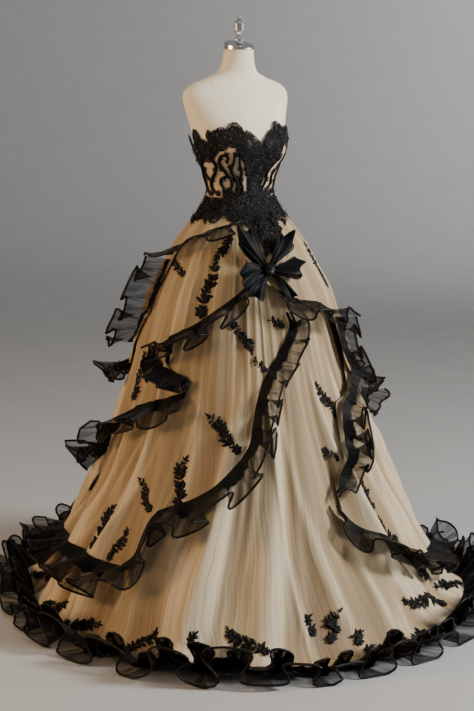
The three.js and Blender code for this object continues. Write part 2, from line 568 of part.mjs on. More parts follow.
/** A gathered strip along a seam on one layer of the skirt, in waves that grow to its free edge. */
function ruffle(seam, layer, clearance, seed) {
  const curve = new THREE.CatmullRomCurve3(
    seam.map((row) => new THREE.Vector3(row.turn * TURN_SCALE, row.height, 0)));
  const shapes = ['width', 'hang', 'stand'].map((column) => new THREE.CatmullRomCurve3(
    seam.map((row, index) => new THREE.Vector3(index, row[column], 0)), false, 'catmullrom', SEAM_TENSION));
  const rootLift = layerLift(layer, clearance + WALL);
  const rootAt = (share) => {
    const flat = curve.getPoint(share);
    return skirt.at(flat.x / TURN_SCALE, flat.y, rootLift);
  };
  const lengths = [0];
  let previous = rootAt(0).point;
  for (let index = 1; index <= SEAM_SAMPLES; index += 1) {
    const next = rootAt(index / SEAM_SAMPLES).point;
    lengths.push(lengths[index - 1] + next.distanceTo(previous));
    previous = next;
  }
  const waves = Math.max(1, Math.round(lengths[SEAM_SAMPLES] / RUFFLE_WAVE));
  const stations = waves * WAVE_STEPS;
  const shareAt = (length) => {
    let index = 1;
    while (index < SEAM_SAMPLES && lengths[index] < length) index += 1;
    const within = (length - lengths[index - 1]) / (lengths[index] - lengths[index - 1]);
    return Math.min(1, (index - 1 + within) / SEAM_SAMPLES);
  };
  const faces = [[], []];
  for (const across of RUFFLE_ROWS) {
    const rows = [[], []];
    for (let station = 0; station <= stations; station += 1) {
      const share = shareAt((lengths[SEAM_SAMPLES] * station) / stations);
      const { point, normal } = rootAt(share);
      const [width, hang, stand] = shapes.map((shape) => shape.getPoint(share).y);
      const sideways = new THREE.Vector3().crossVectors(UP, normal).normalize();
      const downhill = new THREE.Vector3().crossVectors(sideways, normal).normalize();
      const lying = downhill.multiplyScalar(Math.cos(radians(hang)))
        .addScaledVector(sideways, Math.sin(radians(hang)));
      const along = lying.clone().multiplyScalar(Math.cos(radians(stand)))
        .addScaledVector(normal, Math.sin(radians(stand)));
      const face = normal.clone().multiplyScalar(Math.cos(radians(stand)))
        .addScaledVector(lying, -Math.sin(radians(stand)));
      const crest = 0.5 + 0.5 * Math.cos((2 * Math.PI * station) / WAVE_STEPS);
      const drift = CREST_DRIFT.share * Math.sin(CREST_DRIFT.rate * Math.floor(station / WAVE_STEPS) + seed);
      const size = width * (CREST_SHARE + drift);
      const end = point.clone().addScaledVector(along, width * across)
        .addScaledVector(face, size * crest * across);
      end.z = Math.max(end.z, RUFFLE_FLOOR);
      rows[0].push(end);
      rows[1].push(end.clone().addScaledVector(face, -WALL));
    }
    faces[0].push(rows[0]);
    faces[1].push(rows[1]);
  }
  return wall(faces[0], faces[1]);
}

/** A stretch of the hem ruffle, which lies out on the floor beyond the skirt's edge. */
function hemRuffle(from, to) {
  const step = 360 / HEM_WAVES / WAVE_STEPS;
  const edge = SKIRT_RINGS[SKIRT_RINGS.length - 1].height;
  const outer = [];
  const inner = [];
  for (const across of HEM_ROWS) {
    const row = [];
    for (let turn = from; turn <= to + CLOSE; turn += step) {
      const root = skirt.at(turn, edge, layerLift(LAYERS.base)).point;
      const station = Math.round(turn / step);
      const crest = 0.5 + 0.5 * Math.cos((2 * Math.PI * station) / WAVE_STEPS);
      const wave = Math.floor(station / WAVE_STEPS);
      const { share, rate, phase } = HEM_CREST_DRIFT;
      const uneven = 1 + share * Math.sin(rate * wave + phase);
      const reach = SEAM + HEM_RUFFLE_WIDTH * across * (1 - HEM_CREST_PULL * crest);
      const point = root.addScaledVector(outward(turn), reach)
        .addScaledVector(outward(turn + 90), seamInset(turn, from, to));
      point.z += across * (HEM_RUFFLE_RISE * crest * uneven - HEM_RUFFLE_DROP);
      row.push(point);
    }
    outer.push(row);
    inner.push(row.map((point) => point.clone().addScaledVector(UP, -WALL)));
  }
  return wall(outer, inner);
}

/** A closed body through every ring of the form. */
function formBody() {
  const columns = 360 / BODY_STEP;
  const points = [];
  form.rings.forEach((ring, index) => {
    for (let column = 0; column < columns; column += 1) {
      points.push(form.corner(column, index, steady(0)).point);
    }
  });
  const faces = [];
  const last = form.rings.length - 1;
  for (let ring = 0; ring < last; ring += 1) {
    for (let column = 0; column < columns; column += 1) {
      const next = (column + 1) % columns;
      const a = ring * columns + column;
      const b = ring * columns + next;
      faces.push([a, a + columns, b], [b, a + columns, b + columns]);
    }
  }
  const caps = [[0, FORM_RINGS[0]], [last, FORM_RINGS[last]]];
  caps.forEach(([ring, sizes], index) => {
    points.push(new THREE.Vector3(0, sizes.shift, sizes.height));
    const middle = points.length - 1;
    for (let column = 0; column < columns; column += 1) {
      const a = ring * columns + column;
      const b = ring * columns + ((column + 1) % columns);
      faces.push(index ? [b, a, middle] : [a, b, middle]);
    }
  });
  return body(points, faces);
}

/** A ribbon folded back on itself, as a loop or tail of the knot. */
function knotLoop({ angle, length, half, lean, lift }) {
  const { point, normal } = skirt.at(KNOT_TURN, KNOT_HEIGHT, layerLift(LAYERS.upper, lift));
  const sideways = new THREE.Vector3().crossVectors(UP, normal).normalize();
  const uphill = new THREE.Vector3().crossVectors(normal, sideways).normalize();
  const away = uphill.clone().multiplyScalar(Math.cos(radians(angle)))
    .addScaledVector(sideways, Math.sin(radians(angle)));
  const across = new THREE.Vector3().crossVectors(normal, away).normalize();
  const strip = (inset) => [0, 1].map((edge) => {
    const row = [];
    for (let station = 0; station <= LOOP_STATIONS; station += 1) {
      const round = (Math.PI * 2 * LOOP_ROUND * station) / LOOP_STATIONS + LOOP_START;
      const out = (0.5 - 0.5 * Math.cos(round)) * (length - LOOP_ROOT - inset) + LOOP_ROOT;
      const side = Math.sin(round) * (half - inset) * (LOOP_NARROW + out / length);
      row.push(point.clone().addScaledVector(away, out).addScaledVector(across, side)
        .addScaledVector(normal, (edge - 0.5) * LOOP_DEPTH + (lean * out) / length));
    }
    return row;
  });
  return wall(strip(0), strip(WALL));
}

/** The edges of a piece of lace on the bodice, its top scalloped above the neckline. */
function necklineEdge(from, to) {
  const rows = [];
  for (let turn = from; turn <= to + CLOSE; turn += LACE_STEP) {
    const line = read(NECKLINE, 'top', Math.abs(turn));
    const scallop = Math.abs(Math.sin(radians((180 / SCALLOP) * turn)));
    const rise = SCALLOP_RISE * lerp(SCALLOP_VALLEY, 1, scallop);
    rows.push({ turn, top: line + rise, bottom: line - NECKLINE_LACE_DEPTH });
  }
  return rows;
}

/** A closed body turned round the axis from its profile of radii and heights. */
function turned(profile, sides) {
  const lathe = new THREE.LatheGeometry(
    profile.map(([radius, height]) => new THREE.Vector2(radius, height)), sides).rotateX(Math.PI / 2);
  const places = lathe.getAttribute('position');
  const index = lathe.getIndex();
  const points = [];
  for (let vertex = 0; vertex < places.count; vertex += 1) {
    points.push(new THREE.Vector3().fromBufferAttribute(places, vertex));
  }
  const faces = [];
  for (let corner = 0; corner < index.count; corner += 3) {
    faces.push([index.getX(corner), index.getX(corner + 1), index.getX(corner + 2)]);
  }
  return body(points, faces);
}

// ---------------------------------------------------------------- stand and form
add('foot', turned(FOOT_PROFILE, FOOT_SIDES), metal);

const poleBottom = FOOT_HEIGHT + SEAM;
const poleTop = FORM_BOTTOM - SEAM;
const poleProfile = [[0, poleBottom], [POLE_RADIUS, poleBottom], [POLE_RADIUS, poleTop], [0, poleTop]];
add('pole', turned(poleProfile, POLE_SIDES), metal);
add('form_torso', formBody(), linen);

const cap = turned([
  [0, 0], [CAP.radius - CAP.edge, 0], [CAP.radius, CAP.edge], [CAP.radius, CAP.height - CAP.edge],
  [CAP.radius - CAP.edge, CAP.height], [0, CAP.height],
], CAP.sides);
const slant = Math.tan(radians(CAP.tilt));
const capPlaces = cap.getAttribute('position');
for (let index = 0; index < capPlaces.count; index += 1) {
  const share = capPlaces.getZ(index) / CAP.height;
  const leaning = capPlaces.getZ(index) + share * slant * capPlaces.getY(index);
  capPlaces.setXYZ(index, capPlaces.getX(index), capPlaces.getY(index) + CAP.shift,
    leaning + NECK_TOP + SEAM);
}
add('neck_cap', cap, metal);

const finialBase = NECK_TOP + SEAM + CAP.height + SEAM + slant * FINIAL_SEAT;
add('finial', turned(FINIAL_PROFILE, FINIAL_SIDES).translate(0, CAP.shift, finialBase), metal);

// ---------------------------------------------------------------- bodice
const bodiceEdges = [];
for (let turn = -180; turn <= 180; turn += BODY_STEP) {
  bodiceEdges.push({ turn, top: read(NECKLINE, 'top', Math.abs(turn)), bottom: BODICE_BOTTOM });
}
const BODICE_PANELS = [
  { name: 'bodice_back_left', from: -180, to: -96 },
  { name: 'bodice_side_left', from: -96, to: -48 },
  { name: 'bodice_front_left', from: -48, to: 0 },
  { name: 'bodice_front_right', from: 0, to: 48 },
  { name: 'bodice_side_right', from: 48, to: 96 },
  { name: 'bodice_back_right', from: 96, to: 180 },
];
for (const { name, from, to } of BODICE_PANELS) {
  add(name, panel(form, bodiceEdges, from, to, BODY_STEP, steady(BODICE_LIFT)), champagne);
}

const NECKLINE_LACE = [
  { name: 'neckline_lace_left', from: -180, to: 0 },
  { name: 'neckline_lace_right', from: 0, to: 180 },
];
for (const { name, from, to } of NECKLINE_LACE) {
  add(name, panel(form, necklineEdge(from, to), from, to, LACE_STEP, steady(LACE_LIFT)), lace);
}

const frontLaceEdges = [];
for (let turn = FRONT_LACE_FROM; turn <= FRONT_LACE_TO; turn += LACE_STEP) {
  const top = read(NECKLINE, 'top', Math.abs(turn)) - NECKLINE_LACE_DEPTH - SEAM;
  const bottom = Math.min(top - FRONT_LACE_LEAST, read(FRONT_LACE_EDGE, 'bottom', turn));
  frontLaceEdges.push({ turn, top, bottom });
}
const frontLace = panel(form, frontLaceEdges, FRONT_LACE_FROM, FRONT_LACE_TO, LACE_STEP, steady(LACE_LIFT));
add('front_lace', frontLace, lace);

// ---------------------------------------------------------------- skirt
const skirtEdges = [-180, 180].map((turn) => ({ turn, top: WAIST_HEIGHT, bottom: SKIRT_HEM }));
const CLOTH_PIECES = [
  { name: 'gore_back_left', edges: skirtEdges, layer: 'base', from: -180, to: -135 },
  { name: 'gore_side_back_left', edges: skirtEdges, layer: 'base', from: -135, to: -90 },
  { name: 'gore_side_left', edges: skirtEdges, layer: 'base', from: -90, to: -45 },
  { name: 'gore_front_left', edges: skirtEdges, layer: 'base', from: -45, to: 0 },
  { name: 'gore_front_right', edges: skirtEdges, layer: 'base', from: 0, to: 45 },
  { name: 'gore_side_right', edges: skirtEdges, layer: 'base', from: 45, to: 90 },
  { name: 'gore_side_back_right', edges: skirtEdges, layer: 'base', from: 90, to: 135 },
  { name: 'gore_back_right', edges: skirtEdges, layer: 'base', from: 135, to: 180 },
  { name: 'lower_overskirt_left_front', edges: LOWER_LEFT_EDGE, layer: 'lower', from: -67.5, to: 0 },
  { name: 'lower_overskirt_left', edges: LOWER_LEFT_EDGE, layer: 'lower', from: -127.5, to: -67.5 },
  { name: 'lower_overskirt_back_left', edges: LOWER_LEFT_EDGE, layer: 'lower', from: -180, to: -127.5 },
  { name: 'lower_overskirt_right_front', edges: LOWER_RIGHT_EDGE, layer: 'lower', from: 15, to: 67.5 },
  { name: 'lower_overskirt_right', edges: LOWER_RIGHT_EDGE, layer: 'lower', from: 67.5, to: 127.5 },
  { name: 'lower_overskirt_back_right', edges: LOWER_RIGHT_EDGE, layer: 'lower', from: 127.5, to: 180 },
  { name: 'flounce_left', edges: FLOUNCE_LEFT_EDGE, layer: 'flounce', from: -180, to: -60 },
  { name: 'flounce_right', edges: FLOUNCE_RIGHT_EDGE, layer: 'flounce', from: 60, to: 180 },
  { name: 'middle_overskirt', edges: MIDDLE_EDGE, layer: 'middle', from: -112.5, to: -15 },
  { name: 'upper_overskirt_left', edges: UPPER_LEFT_EDGE, layer: 'upper', from: -112.5, to: -30 },
  { name: 'upper_overskirt_back_left', edges: UPPER_LEFT_EDGE, layer: 'upper', from: -180, to: -112.5 },
  { name: 'upper_overskirt_right', edges: UPPER_RIGHT_EDGE, layer: 'upper', from: -15, to: 90 },
  { name: 'upper_overskirt_back_right', edges: UPPER_RIGHT_EDGE, layer: 'upper', from: 90, to: 180 },
];
for (const { name, edges, layer, from, to } of CLOTH_PIECES) {
  add(name, panel(skirt, edges, from, to, SKIRT_STEP, layerLift(LAYERS[layer])), tulle);
}

const hipLaceEdges = [];
for (let turn = -180; turn <= 180; turn += SKIRT_STEP) {
  hipLaceEdges.push({
    turn,
    top: WAIST_HEIGHT - HIP_LACE_DROP,
    bottom: read(HIP_LACE_EDGE, 'bottom', Math.abs(turn)),
  });
}
const HIP_LACE = [
  { name: 'hip_lace_left', from: -180, to: 0 },
  { name: 'hip_lace_right', from: 0, to: 180 },
];
for (const { name, from, to } of HIP_LACE) {
  add(name, panel(skirt, hipLaceEdges, from, to, SKIRT_STEP, layerLift(LAYERS.hipLace)), lace);
}

// ---------------------------------------------------------------- ruffles and knot
const RUFFLES = [
  { name: 'hip_ruffle_left', seam: HIP_RUFFLE_LEFT, layer: 'upper', clearance: 2.4 },
  { name: 'side_ruffle_left', seam: SIDE_RUFFLE_LEFT, layer: 'upper', clearance: 0.4 },
  { name: 'back_ruffle_left', seam: BACK_RUFFLE_LEFT, layer: 'upper', clearance: 0.5 },
  { name: 'front_ruffle_upper', seam: FRONT_RUFFLE_UPPER, layer: 'middle', clearance: 3.1 },
  { name: 'front_ruffle_fold', seam: FRONT_RUFFLE_FOLD, layer: 'flounce', clearance: 4.4 },
  { name: 'front_ruffle_lower', seam: FRONT_RUFFLE_LOWER, layer: 'flounce', clearance: 2.8 },
  { name: 'back_ruffle_right', seam: BACK_RUFFLE_RIGHT, layer: 'flounce', clearance: 3 },
  { name: 'cascade_left', seam: CASCADE_LEFT, layer: 'lower', clearance: 3.4 },
  { name: 'cascade_left_low', seam: CASCADE_LEFT_LOW, layer: 'lower', clearance: 3.4 },
  { name: 'hip_ruffle_right', seam: HIP_RUFFLE_RIGHT, layer: 'upper', clearance: 2.3 },
  { name: 'side_ruffle_right', seam: SIDE_RUFFLE_RIGHT, layer: 'upper', clearance: 0.4 },
  { name: 'back_ruffle_upper', seam: BACK_RUFFLE_UPPER, layer: 'upper', clearance: 3.4 },
  { name: 'cascade_right', seam: CASCADE_RIGHT, layer: 'lower', clearance: 3 },
  { name: 'cascade_right_low', seam: CASCADE_RIGHT_LOW, layer: 'lower', clearance: 3.4 },
];
RUFFLES.forEach(({ name, seam, layer, clearance }, index) => {
  add(name, ruffle(seam, LAYERS[layer], clearance, index), organza);
});

for (let piece = 0; piece < HEM_PIECES; piece += 1) {
  const from = -180 + (360 / HEM_PIECES) * piece;
  add(`hem_ruffle_${piece + 1}`, hemRuffle(from, from + 360 / HEM_PIECES), organza);
}

for (const loop of KNOT_LOOPS) add(loop.name, knotLoop(loop), organza);

export default gown;
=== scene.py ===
"""The looks of a strapless evening gown with ruffled overskirts, on a limbless dress form."""

import logging
import math
import random
from collections.abc import Callable, Sequence
from dataclasses import dataclass, field
from enum import Enum
from typing import NamedTuple

import bmesh
import bpy
import numpy as np
from mathutils import Matrix, Vector


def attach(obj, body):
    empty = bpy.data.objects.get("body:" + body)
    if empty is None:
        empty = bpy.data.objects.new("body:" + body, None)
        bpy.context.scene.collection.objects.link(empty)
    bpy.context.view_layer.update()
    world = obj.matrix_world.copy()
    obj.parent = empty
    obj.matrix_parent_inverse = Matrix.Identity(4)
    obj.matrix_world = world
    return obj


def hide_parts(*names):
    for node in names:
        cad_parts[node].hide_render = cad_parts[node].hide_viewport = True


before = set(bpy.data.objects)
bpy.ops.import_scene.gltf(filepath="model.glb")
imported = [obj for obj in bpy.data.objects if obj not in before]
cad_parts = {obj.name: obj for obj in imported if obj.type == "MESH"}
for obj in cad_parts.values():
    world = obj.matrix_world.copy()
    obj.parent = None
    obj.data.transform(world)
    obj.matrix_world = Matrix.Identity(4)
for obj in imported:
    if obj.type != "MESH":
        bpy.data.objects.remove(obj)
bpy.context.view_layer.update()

LOG = logging.getLogger("gown")
BODY = "root"
UP = np.array([0.0, 0.0, 1.0])

WAIST = 1.300                 # height of the waist
SKIRT_HEM = 0.021             # height of the skirt's lower edge
OVERSKIRT_TOP = 1.262         # where the overskirts are gathered onto the skirt
LAYER_SPREAD = 0.260          # drop over which the layers fan out from one another
BASE_SETTLE = 0.038           # drop over which the base skirt sinks under the overskirts
SKIRT_FOLDS = 16              # large gathers round the skirt
RIDGE_LEVEL = 0.0095          # how far the cloth lies in between its ridges
FRONT_TURN = -14.0            # the turn from which the folds sweep outwards
FOLD_SWEEP = 23.0             # degrees that they sweep on their way to the floor
LOWEST = 0.004                # no cloth hangs lower than this
RING_SAMPLES = 24             # smooth levels between two rings of an outline
SHEET_SPACING = 0.6           # degrees between two columns of a skirt sheet
FOLD_SHADE_RANGE = 0.009           # the depth of fold over which the painted fold shade goes from dark in the troughs to pale on the ridges
NARROW_RIDGES = 62            # fine folds round the skirt
DEEP_RIDGES = 17              # deeper folds between them
RIDGE_SEED = 41
HIP_LACE_TOP = 1.298          # height of the upper edge of the hip lace

# A stated area is never below this share, so where the measured one is, the stated one is NOT a
# measured value. It raises both hip laces (measured 0.25) and the front lace (measured 0.307).
AREA_FLOOR = 0.31


class SkirtRing(NamedTuple):
    """One ring of the skirt: its height, its four half axes and the depth of its gathers."""

    height: float
    front: float
    left: float
    back: float
    right: float
    fold: float


class FormRing(NamedTuple):
    """One ring of the form: its height, half width, depths and the shift of its centre line."""

    height: float
    side: float
    front: float
    back: float
    shift: float


class EdgePoint(NamedTuple):
    """The top and the lower edge of a sheet at one turn from the front, in degrees."""

    turn: float
    top: float
    bottom: float


class SeamPoint(NamedTuple):
    """A ruffle's seam: its turn and height, the ruffle's width, the way it hangs and stands."""

    turn: float
    height: float
    width: float
    hang: float
    stand: float


SKIRT_RINGS = tuple(SkirtRing(*row) for row in (
    (1.3, 0.081, 0.108, 0.081, 0.108, 0),
    (1.262, 0.105, 0.134, 0.109, 0.134, 0),
    (1.212, 0.144, 0.168, 0.154, 0.168, 0.0015),
    (1.15, 0.182, 0.203, 0.195, 0.203, 0.0035),
    (1.075, 0.216, 0.233, 0.227, 0.233, 0.005),
    (0.99, 0.251, 0.268, 0.266, 0.268, 0.007),
    (0.89, 0.282, 0.297, 0.296, 0.298, 0.008),
    (0.78, 0.312, 0.325, 0.326, 0.333, 0.009),
    (0.65, 0.349, 0.36, 0.365, 0.375, 0.011),
    (0.52, 0.389, 0.399, 0.415, 0.42, 0.013),
    (0.41, 0.427, 0.434, 0.461, 0.46, 0.015),
    (0.31, 0.468, 0.476, 0.52, 0.508, 0.017),
    (0.208, 0.52, 0.52, 0.603, 0.562, 0.017),
    (0.114, 0.572, 0.562, 0.697, 0.624, 0.014),
    (0.052, 0.614, 0.593, 0.775, 0.676, 0.008),
    (SKIRT_HEM, 0.666, 0.624, 0.863, 0.738, 0.003),
))
FORM_RINGS = tuple(FormRing(*row) for row in (
    (1.738, 0.045, 0.043, 0.045, 0.006),
    (1.716, 0.047, 0.044, 0.047, 0.008),
    (1.692, 0.053, 0.046, 0.05, 0.011),
    (1.67, 0.068, 0.049, 0.054, 0.016),
    (1.652, 0.108, 0.054, 0.059, 0.021),
    (1.636, 0.152, 0.062, 0.066, 0.024),
    (1.615, 0.177, 0.073, 0.075, 0.025),
    (1.59, 0.181, 0.084, 0.084, 0.024),
    (1.55, 0.17, 0.098, 0.094, 0.02),
    (1.51, 0.158, 0.11, 0.099, 0.014),
    (1.48, 0.152, 0.119, 0.1, 0.009),
    (1.45, 0.147, 0.121, 0.098, 0.006),
    (1.422, 0.138, 0.113, 0.094, 0.004),
    (1.388, 0.122, 0.097, 0.088, 0.003),
    (1.357, 0.11, 0.084, 0.082, 0.002),
    (1.325, 0.103, 0.076, 0.077, 0.001),
    (1.3008, 0.1045, 0.0775, 0.078, 0),
    (1.262, 0.118, 0.085, 0.09, 0),
    (1.215, 0.14, 0.1, 0.11, 0),
    (1.16, 0.152, 0.108, 0.116, 0),
    (1.105, 0.14, 0.098, 0.106, 0),
    (1.085, 0.112, 0.078, 0.084, 0),
))


def edge(*rows: tuple[float, float, float]) -> tuple[EdgePoint, ...]:
    """The rows of an edge table, as edge points."""
    return tuple(EdgePoint(*row) for row in rows)


def seam(*rows: tuple[float, float, float, float, float]) -> tuple[SeamPoint, ...]:
    """The rows of a seam table, as seam points."""
    return tuple(SeamPoint(*row) for row in rows)


LOWER_LEFT_EDGE = edge(
    (-180, 0.53, 0.13), (-150, 0.53, 0.16), (-126, 0.55, 0.198), (-108, 0.64, 0.217),
    (-90, 0.74, 0.227), (-78, 0.79, 0.228), (-72, 0.82, 0.24), (-66, 0.88, 0.385),
    (-60, 0.99, 0.41),
    (-48, 1.03, 0.45), (-36, 1.065, 0.52), (-30, 1.085, 0.575), (-24, 1.11, 0.69),
    (-18, 1.125, 0.795),
    (-12, 1.12, 0.84), (-6, 1.11, 0.885), (0, 1.1, 0.94),
)
LOWER_RIGHT_EDGE = edge(
    (12, 0.455, 0.38), (18, 0.545, 0.325), (24, 0.67, 0.29), (30, 0.695, 0.255), (36, 0.702, 0.225),
    (42, 0.715, 0.195), (48, 0.8, 0.17), (60, 0.79, 0.145), (72, 0.7, 0.122), (96, 0.64, 0.115),
    (120, 0.58, 0.116), (150, 0.54, 0.121), (180, 0.53, 0.13),
)
FLOUNCE_LEFT_EDGE = edge(
    (-180, 0.8, 0.468), (-150, 0.805, 0.472), (-132, 0.812, 0.481), (-120, 0.82, 0.495),
    (-108, 0.88, 0.575), (-96, 0.895, 0.648), (-84, 0.9, 0.693), (-78, 0.85, 0.702),
    (-72, 0.8, 0.715),
    (-66, 0.785, 0.729), (-60, 0.775, 0.745),
)
FLOUNCE_RIGHT_EDGE = edge(
    (60, 0.79, 0.69), (72, 0.79, 0.635), (90, 0.79, 0.59), (120, 0.795, 0.52), (150, 0.798, 0.475),
    (180, 0.8, 0.468),
)
MIDDLE_EDGE = edge(
    (-112.5, 1.262, 0.822), (-90, 1.262, 0.84), (-78, 1.262, 0.884), (-60, 1.262, 0.936),
    (-42, 1.262, 0.996), (-24, 1.262, 1.061), (-15, 1.262, 1.1),
)
UPPER_LEFT_EDGE = edge(
    (-180, 1.262, 0.728), (-150, 1.262, 0.74), (-120, 1.262, 0.77), (-114, 1.262, 0.795),
    (-108, 1.262, 0.895), (-102, 1.262, 0.945), (-96, 1.262, 1.1), (-90, 1.262, 1.157),
    (-72, 1.262, 1.19), (-48, 1.262, 1.22), (-30, 1.262, 1.232),
)
UPPER_RIGHT_EDGE = edge(
    (-15, 1.262, 1.06), (0, 1.262, 1.012), (18, 1.262, 0.99), (36, 1.262, 0.962), (42, 1.262, 0.9),
    (48, 1.262, 0.745), (90, 1.262, 0.735), (180, 1.262, 0.728),
)

HIP_RUFFLE_LEFT = seam(
    (-32, 1.23, 0.055, 0, 25), (-49, 1.22, 0.062, 0, 28), (-63, 1.207, 0.066, 0, 30),
    (-78, 1.181, 0.07, -5, 32), (-90, 1.157, 0.074, -15, 38), (-97, 1.122, 0.074, -30, 44),
)
SIDE_RUFFLE_LEFT = seam(
    (-98, 1.108, 0.062, -55, 46), (-98, 1.058, 0.07, -60, 46), (-95, 1.01, 0.074, -60, 42),
    (-98, 0.965, 0.076, -50, 45), (-105, 0.926, 0.078, -45, 45), (-109, 0.88, 0.074, -46, 42),
    (-112, 0.842, 0.058, -48, 38),
)
BACK_RUFFLE_LEFT = seam(
    (-115, 0.792, 0.058, -2, 32), (-123, 0.766, 0.072, 0, 30), (-150, 0.741, 0.075, 0, 28),
    (-179.5, 0.729, 0.075, 0, 28),
)
FRONT_RUFFLE_UPPER = seam(
    (-23, 1.066, 0.07, -10, 22), (-32, 1.031, 0.076, -5, 22), (-42, 0.995, 0.078, 0, 22),
    (-52, 0.961, 0.078, 0, 22), (-63, 0.926, 0.076, 0, 22), (-74, 0.896, 0.068, 0, 26),
    (-82, 0.866, 0.052, 15, 34),
)
FRONT_RUFFLE_FOLD = seam(
    (-85, 0.862, 0.05, -50, 34), (-84, 0.838, 0.056, -35, 34), (-78, 0.812, 0.06, -20, 30),
    (-70, 0.797, 0.058, -15, 28), (-62, 0.785, 0.052, -30, 26), (-58, 0.766, 0.046, -60, 24),
    (-59, 0.746, 0.046, -72, 22),
)
FRONT_RUFFLE_LOWER = seam(
    (-60, 0.744, 0.066, 10, 20), (-66, 0.728, 0.08, 0, 20), (-75, 0.708, 0.084, 0, 20),
    (-84, 0.692, 0.086, 0, 22), (-94, 0.657, 0.088, -5, 30), (-102, 0.614, 0.088, -10, 34),
    (-110, 0.558, 0.088, -15, 34), (-118, 0.503, 0.086, -5, 30), (-132, 0.481, 0.084, 0, 26),
    (-155, 0.471, 0.084, 0, 26), (-179.5, 0.468, 0.084, 0, 26),
)
BACK_RUFFLE_RIGHT = seam(
    (60, 0.69, 0.06, 10, 26), (72, 0.637, 0.078, 10, 28), (90, 0.591, 0.084, 0, 26),
    (120, 0.521, 0.084, 0, 26), (150, 0.477, 0.084, 0, 26), (179.5, 0.468, 0.084, 0, 26),
)
CASCADE_LEFT = seam(
    (-2, 0.968, 0.046, 70, 22), (-1, 0.93, 0.058, 75, 22), (-5, 0.89, 0.06, 70, 22),
    (-10, 0.853, 0.06, 60, 22), (-16, 0.812, 0.06, 60, 22), (-21, 0.762, 0.064, 60, 22),
    (-24, 0.712, 0.066, 65, 22), (-26, 0.655, 0.07, 65, 22), (-28, 0.596, 0.072, 55, 20),
    (-34, 0.54, 0.078, 35, 20), (-42, 0.482, 0.088, 20, 20), (-52, 0.438, 0.092, 12, 20),
    (-62, 0.408, 0.092, 22, 22), (-67, 0.37, 0.088, 45, 24), (-69, 0.318, 0.088, 60, 24),
    (-70, 0.268, 0.092, 40, 22), (-75, 0.236, 0.1, 10, 20),
)
CASCADE_LEFT_LOW = seam(
    (-77, 0.229, 0.102, 0, 20), (-86, 0.225, 0.104, 0, 20), (-97, 0.226, 0.104, 0, 20),
    (-108, 0.217, 0.102, 0, 20), (-126, 0.198, 0.1, 0, 20), (-150, 0.161, 0.095, 0, 20),
    (-179.5, 0.131, 0.09, 0, 20),
)
HIP_RUFFLE_RIGHT = seam(
    (-10, 1.046, 0.062, 0, 25), (-3, 1.02, 0.07, 0, 25), (8, 1, 0.072, 0, 25),
    (20, 0.988, 0.072, 0, 25), (32, 0.973, 0.072, 10, 28), (39, 0.942, 0.07, 35, 32),
)
SIDE_RUFFLE_RIGHT = seam(
    (41, 0.926, 0.06, 60, 30), (41, 0.885, 0.064, 65, 30), (42, 0.84, 0.066, 60, 30),
    (45, 0.795, 0.07, 50, 30), (46, 0.752, 0.072, 35, 28), (40, 0.722, 0.074, 15, 24),
    (32, 0.702, 0.074, 15, 22), (26, 0.676, 0.072, 45, 22), (22, 0.632, 0.074, 65, 22),
    (19, 0.575, 0.076, 70, 22), (16, 0.515, 0.074, 70, 22), (12, 0.462, 0.066, 60, 22),
    (8, 0.43, 0.05, 50, 22),
)
BACK_RUFFLE_UPPER = seam(
    (50, 0.738, 0.066, 0, 28), (66, 0.738, 0.074, 0, 28), (90, 0.735, 0.075, 0, 28),
    (135, 0.731, 0.075, 0, 28), (179.5, 0.729, 0.075, 0, 28),
)
CASCADE_RIGHT = seam(
    (9, 0.412, 0.066, -40, 22), (12, 0.378, 0.078, -35, 22), (17, 0.333, 0.084, -20, 20),
    (23, 0.295, 0.086, -10, 20), (31, 0.25, 0.086, -5, 20), (41, 0.2, 0.086, 0, 20),
    (50, 0.165, 0.084, 0, 20), (62, 0.142, 0.082, 0, 20), (78, 0.121, 0.08, 0, 20),
)
CASCADE_RIGHT_LOW = seam(
    (80, 0.12, 0.08, 0, 20), (100, 0.115, 0.078, 0, 20), (130, 0.117, 0.078, 0, 20),
    (155, 0.122, 0.082, 0, 20), (179.5, 0.13, 0.086, 0, 20),
)


Array = np.ndarray


def unit(vectors: Array) -> Array:
    """The vectors, in the last axis, scaled to length one."""
    return vectors / np.maximum(np.linalg.norm(vectors, axis=-1, keepdims=True), 1e-9)


def smooth_step(share: Array | float) -> Array:
    """Shares from 0 to 1 that start and end gently."""
    held = np.clip(share, 0.0, 1.0)
    return held * held * (3 - 2 * held)


def spline_rows(rows: Sequence[Sequence[float]], samples: int) -> Array:
    """A smooth curve through the rows of a table.

    Args:
        rows: The rows, each with the same number of values.
        samples: How many points the curve gets between two rows.

    Returns:
        The points of the curve, which passes through every row.
    """
    table = np.asarray(rows, dtype=float)
    padded = np.vstack([2 * table[0] - table[1], table, 2 * table[-1] - table[-2]])
    share = np.linspace(0, 1, samples, endpoint=False)[:, None]
    parts = []
    for start in range(len(table) - 1):
        a, b, c, d = padded[start:start + 4]
        parts.append(0.5 * (2 * b + (c - a) * share + (2 * a - 5 * b + 4 * c - d) * share ** 2
                            + (3 * b - a - 3 * c + d) * share ** 3))
    parts.append(table[-1:])
    return np.vstack(parts)


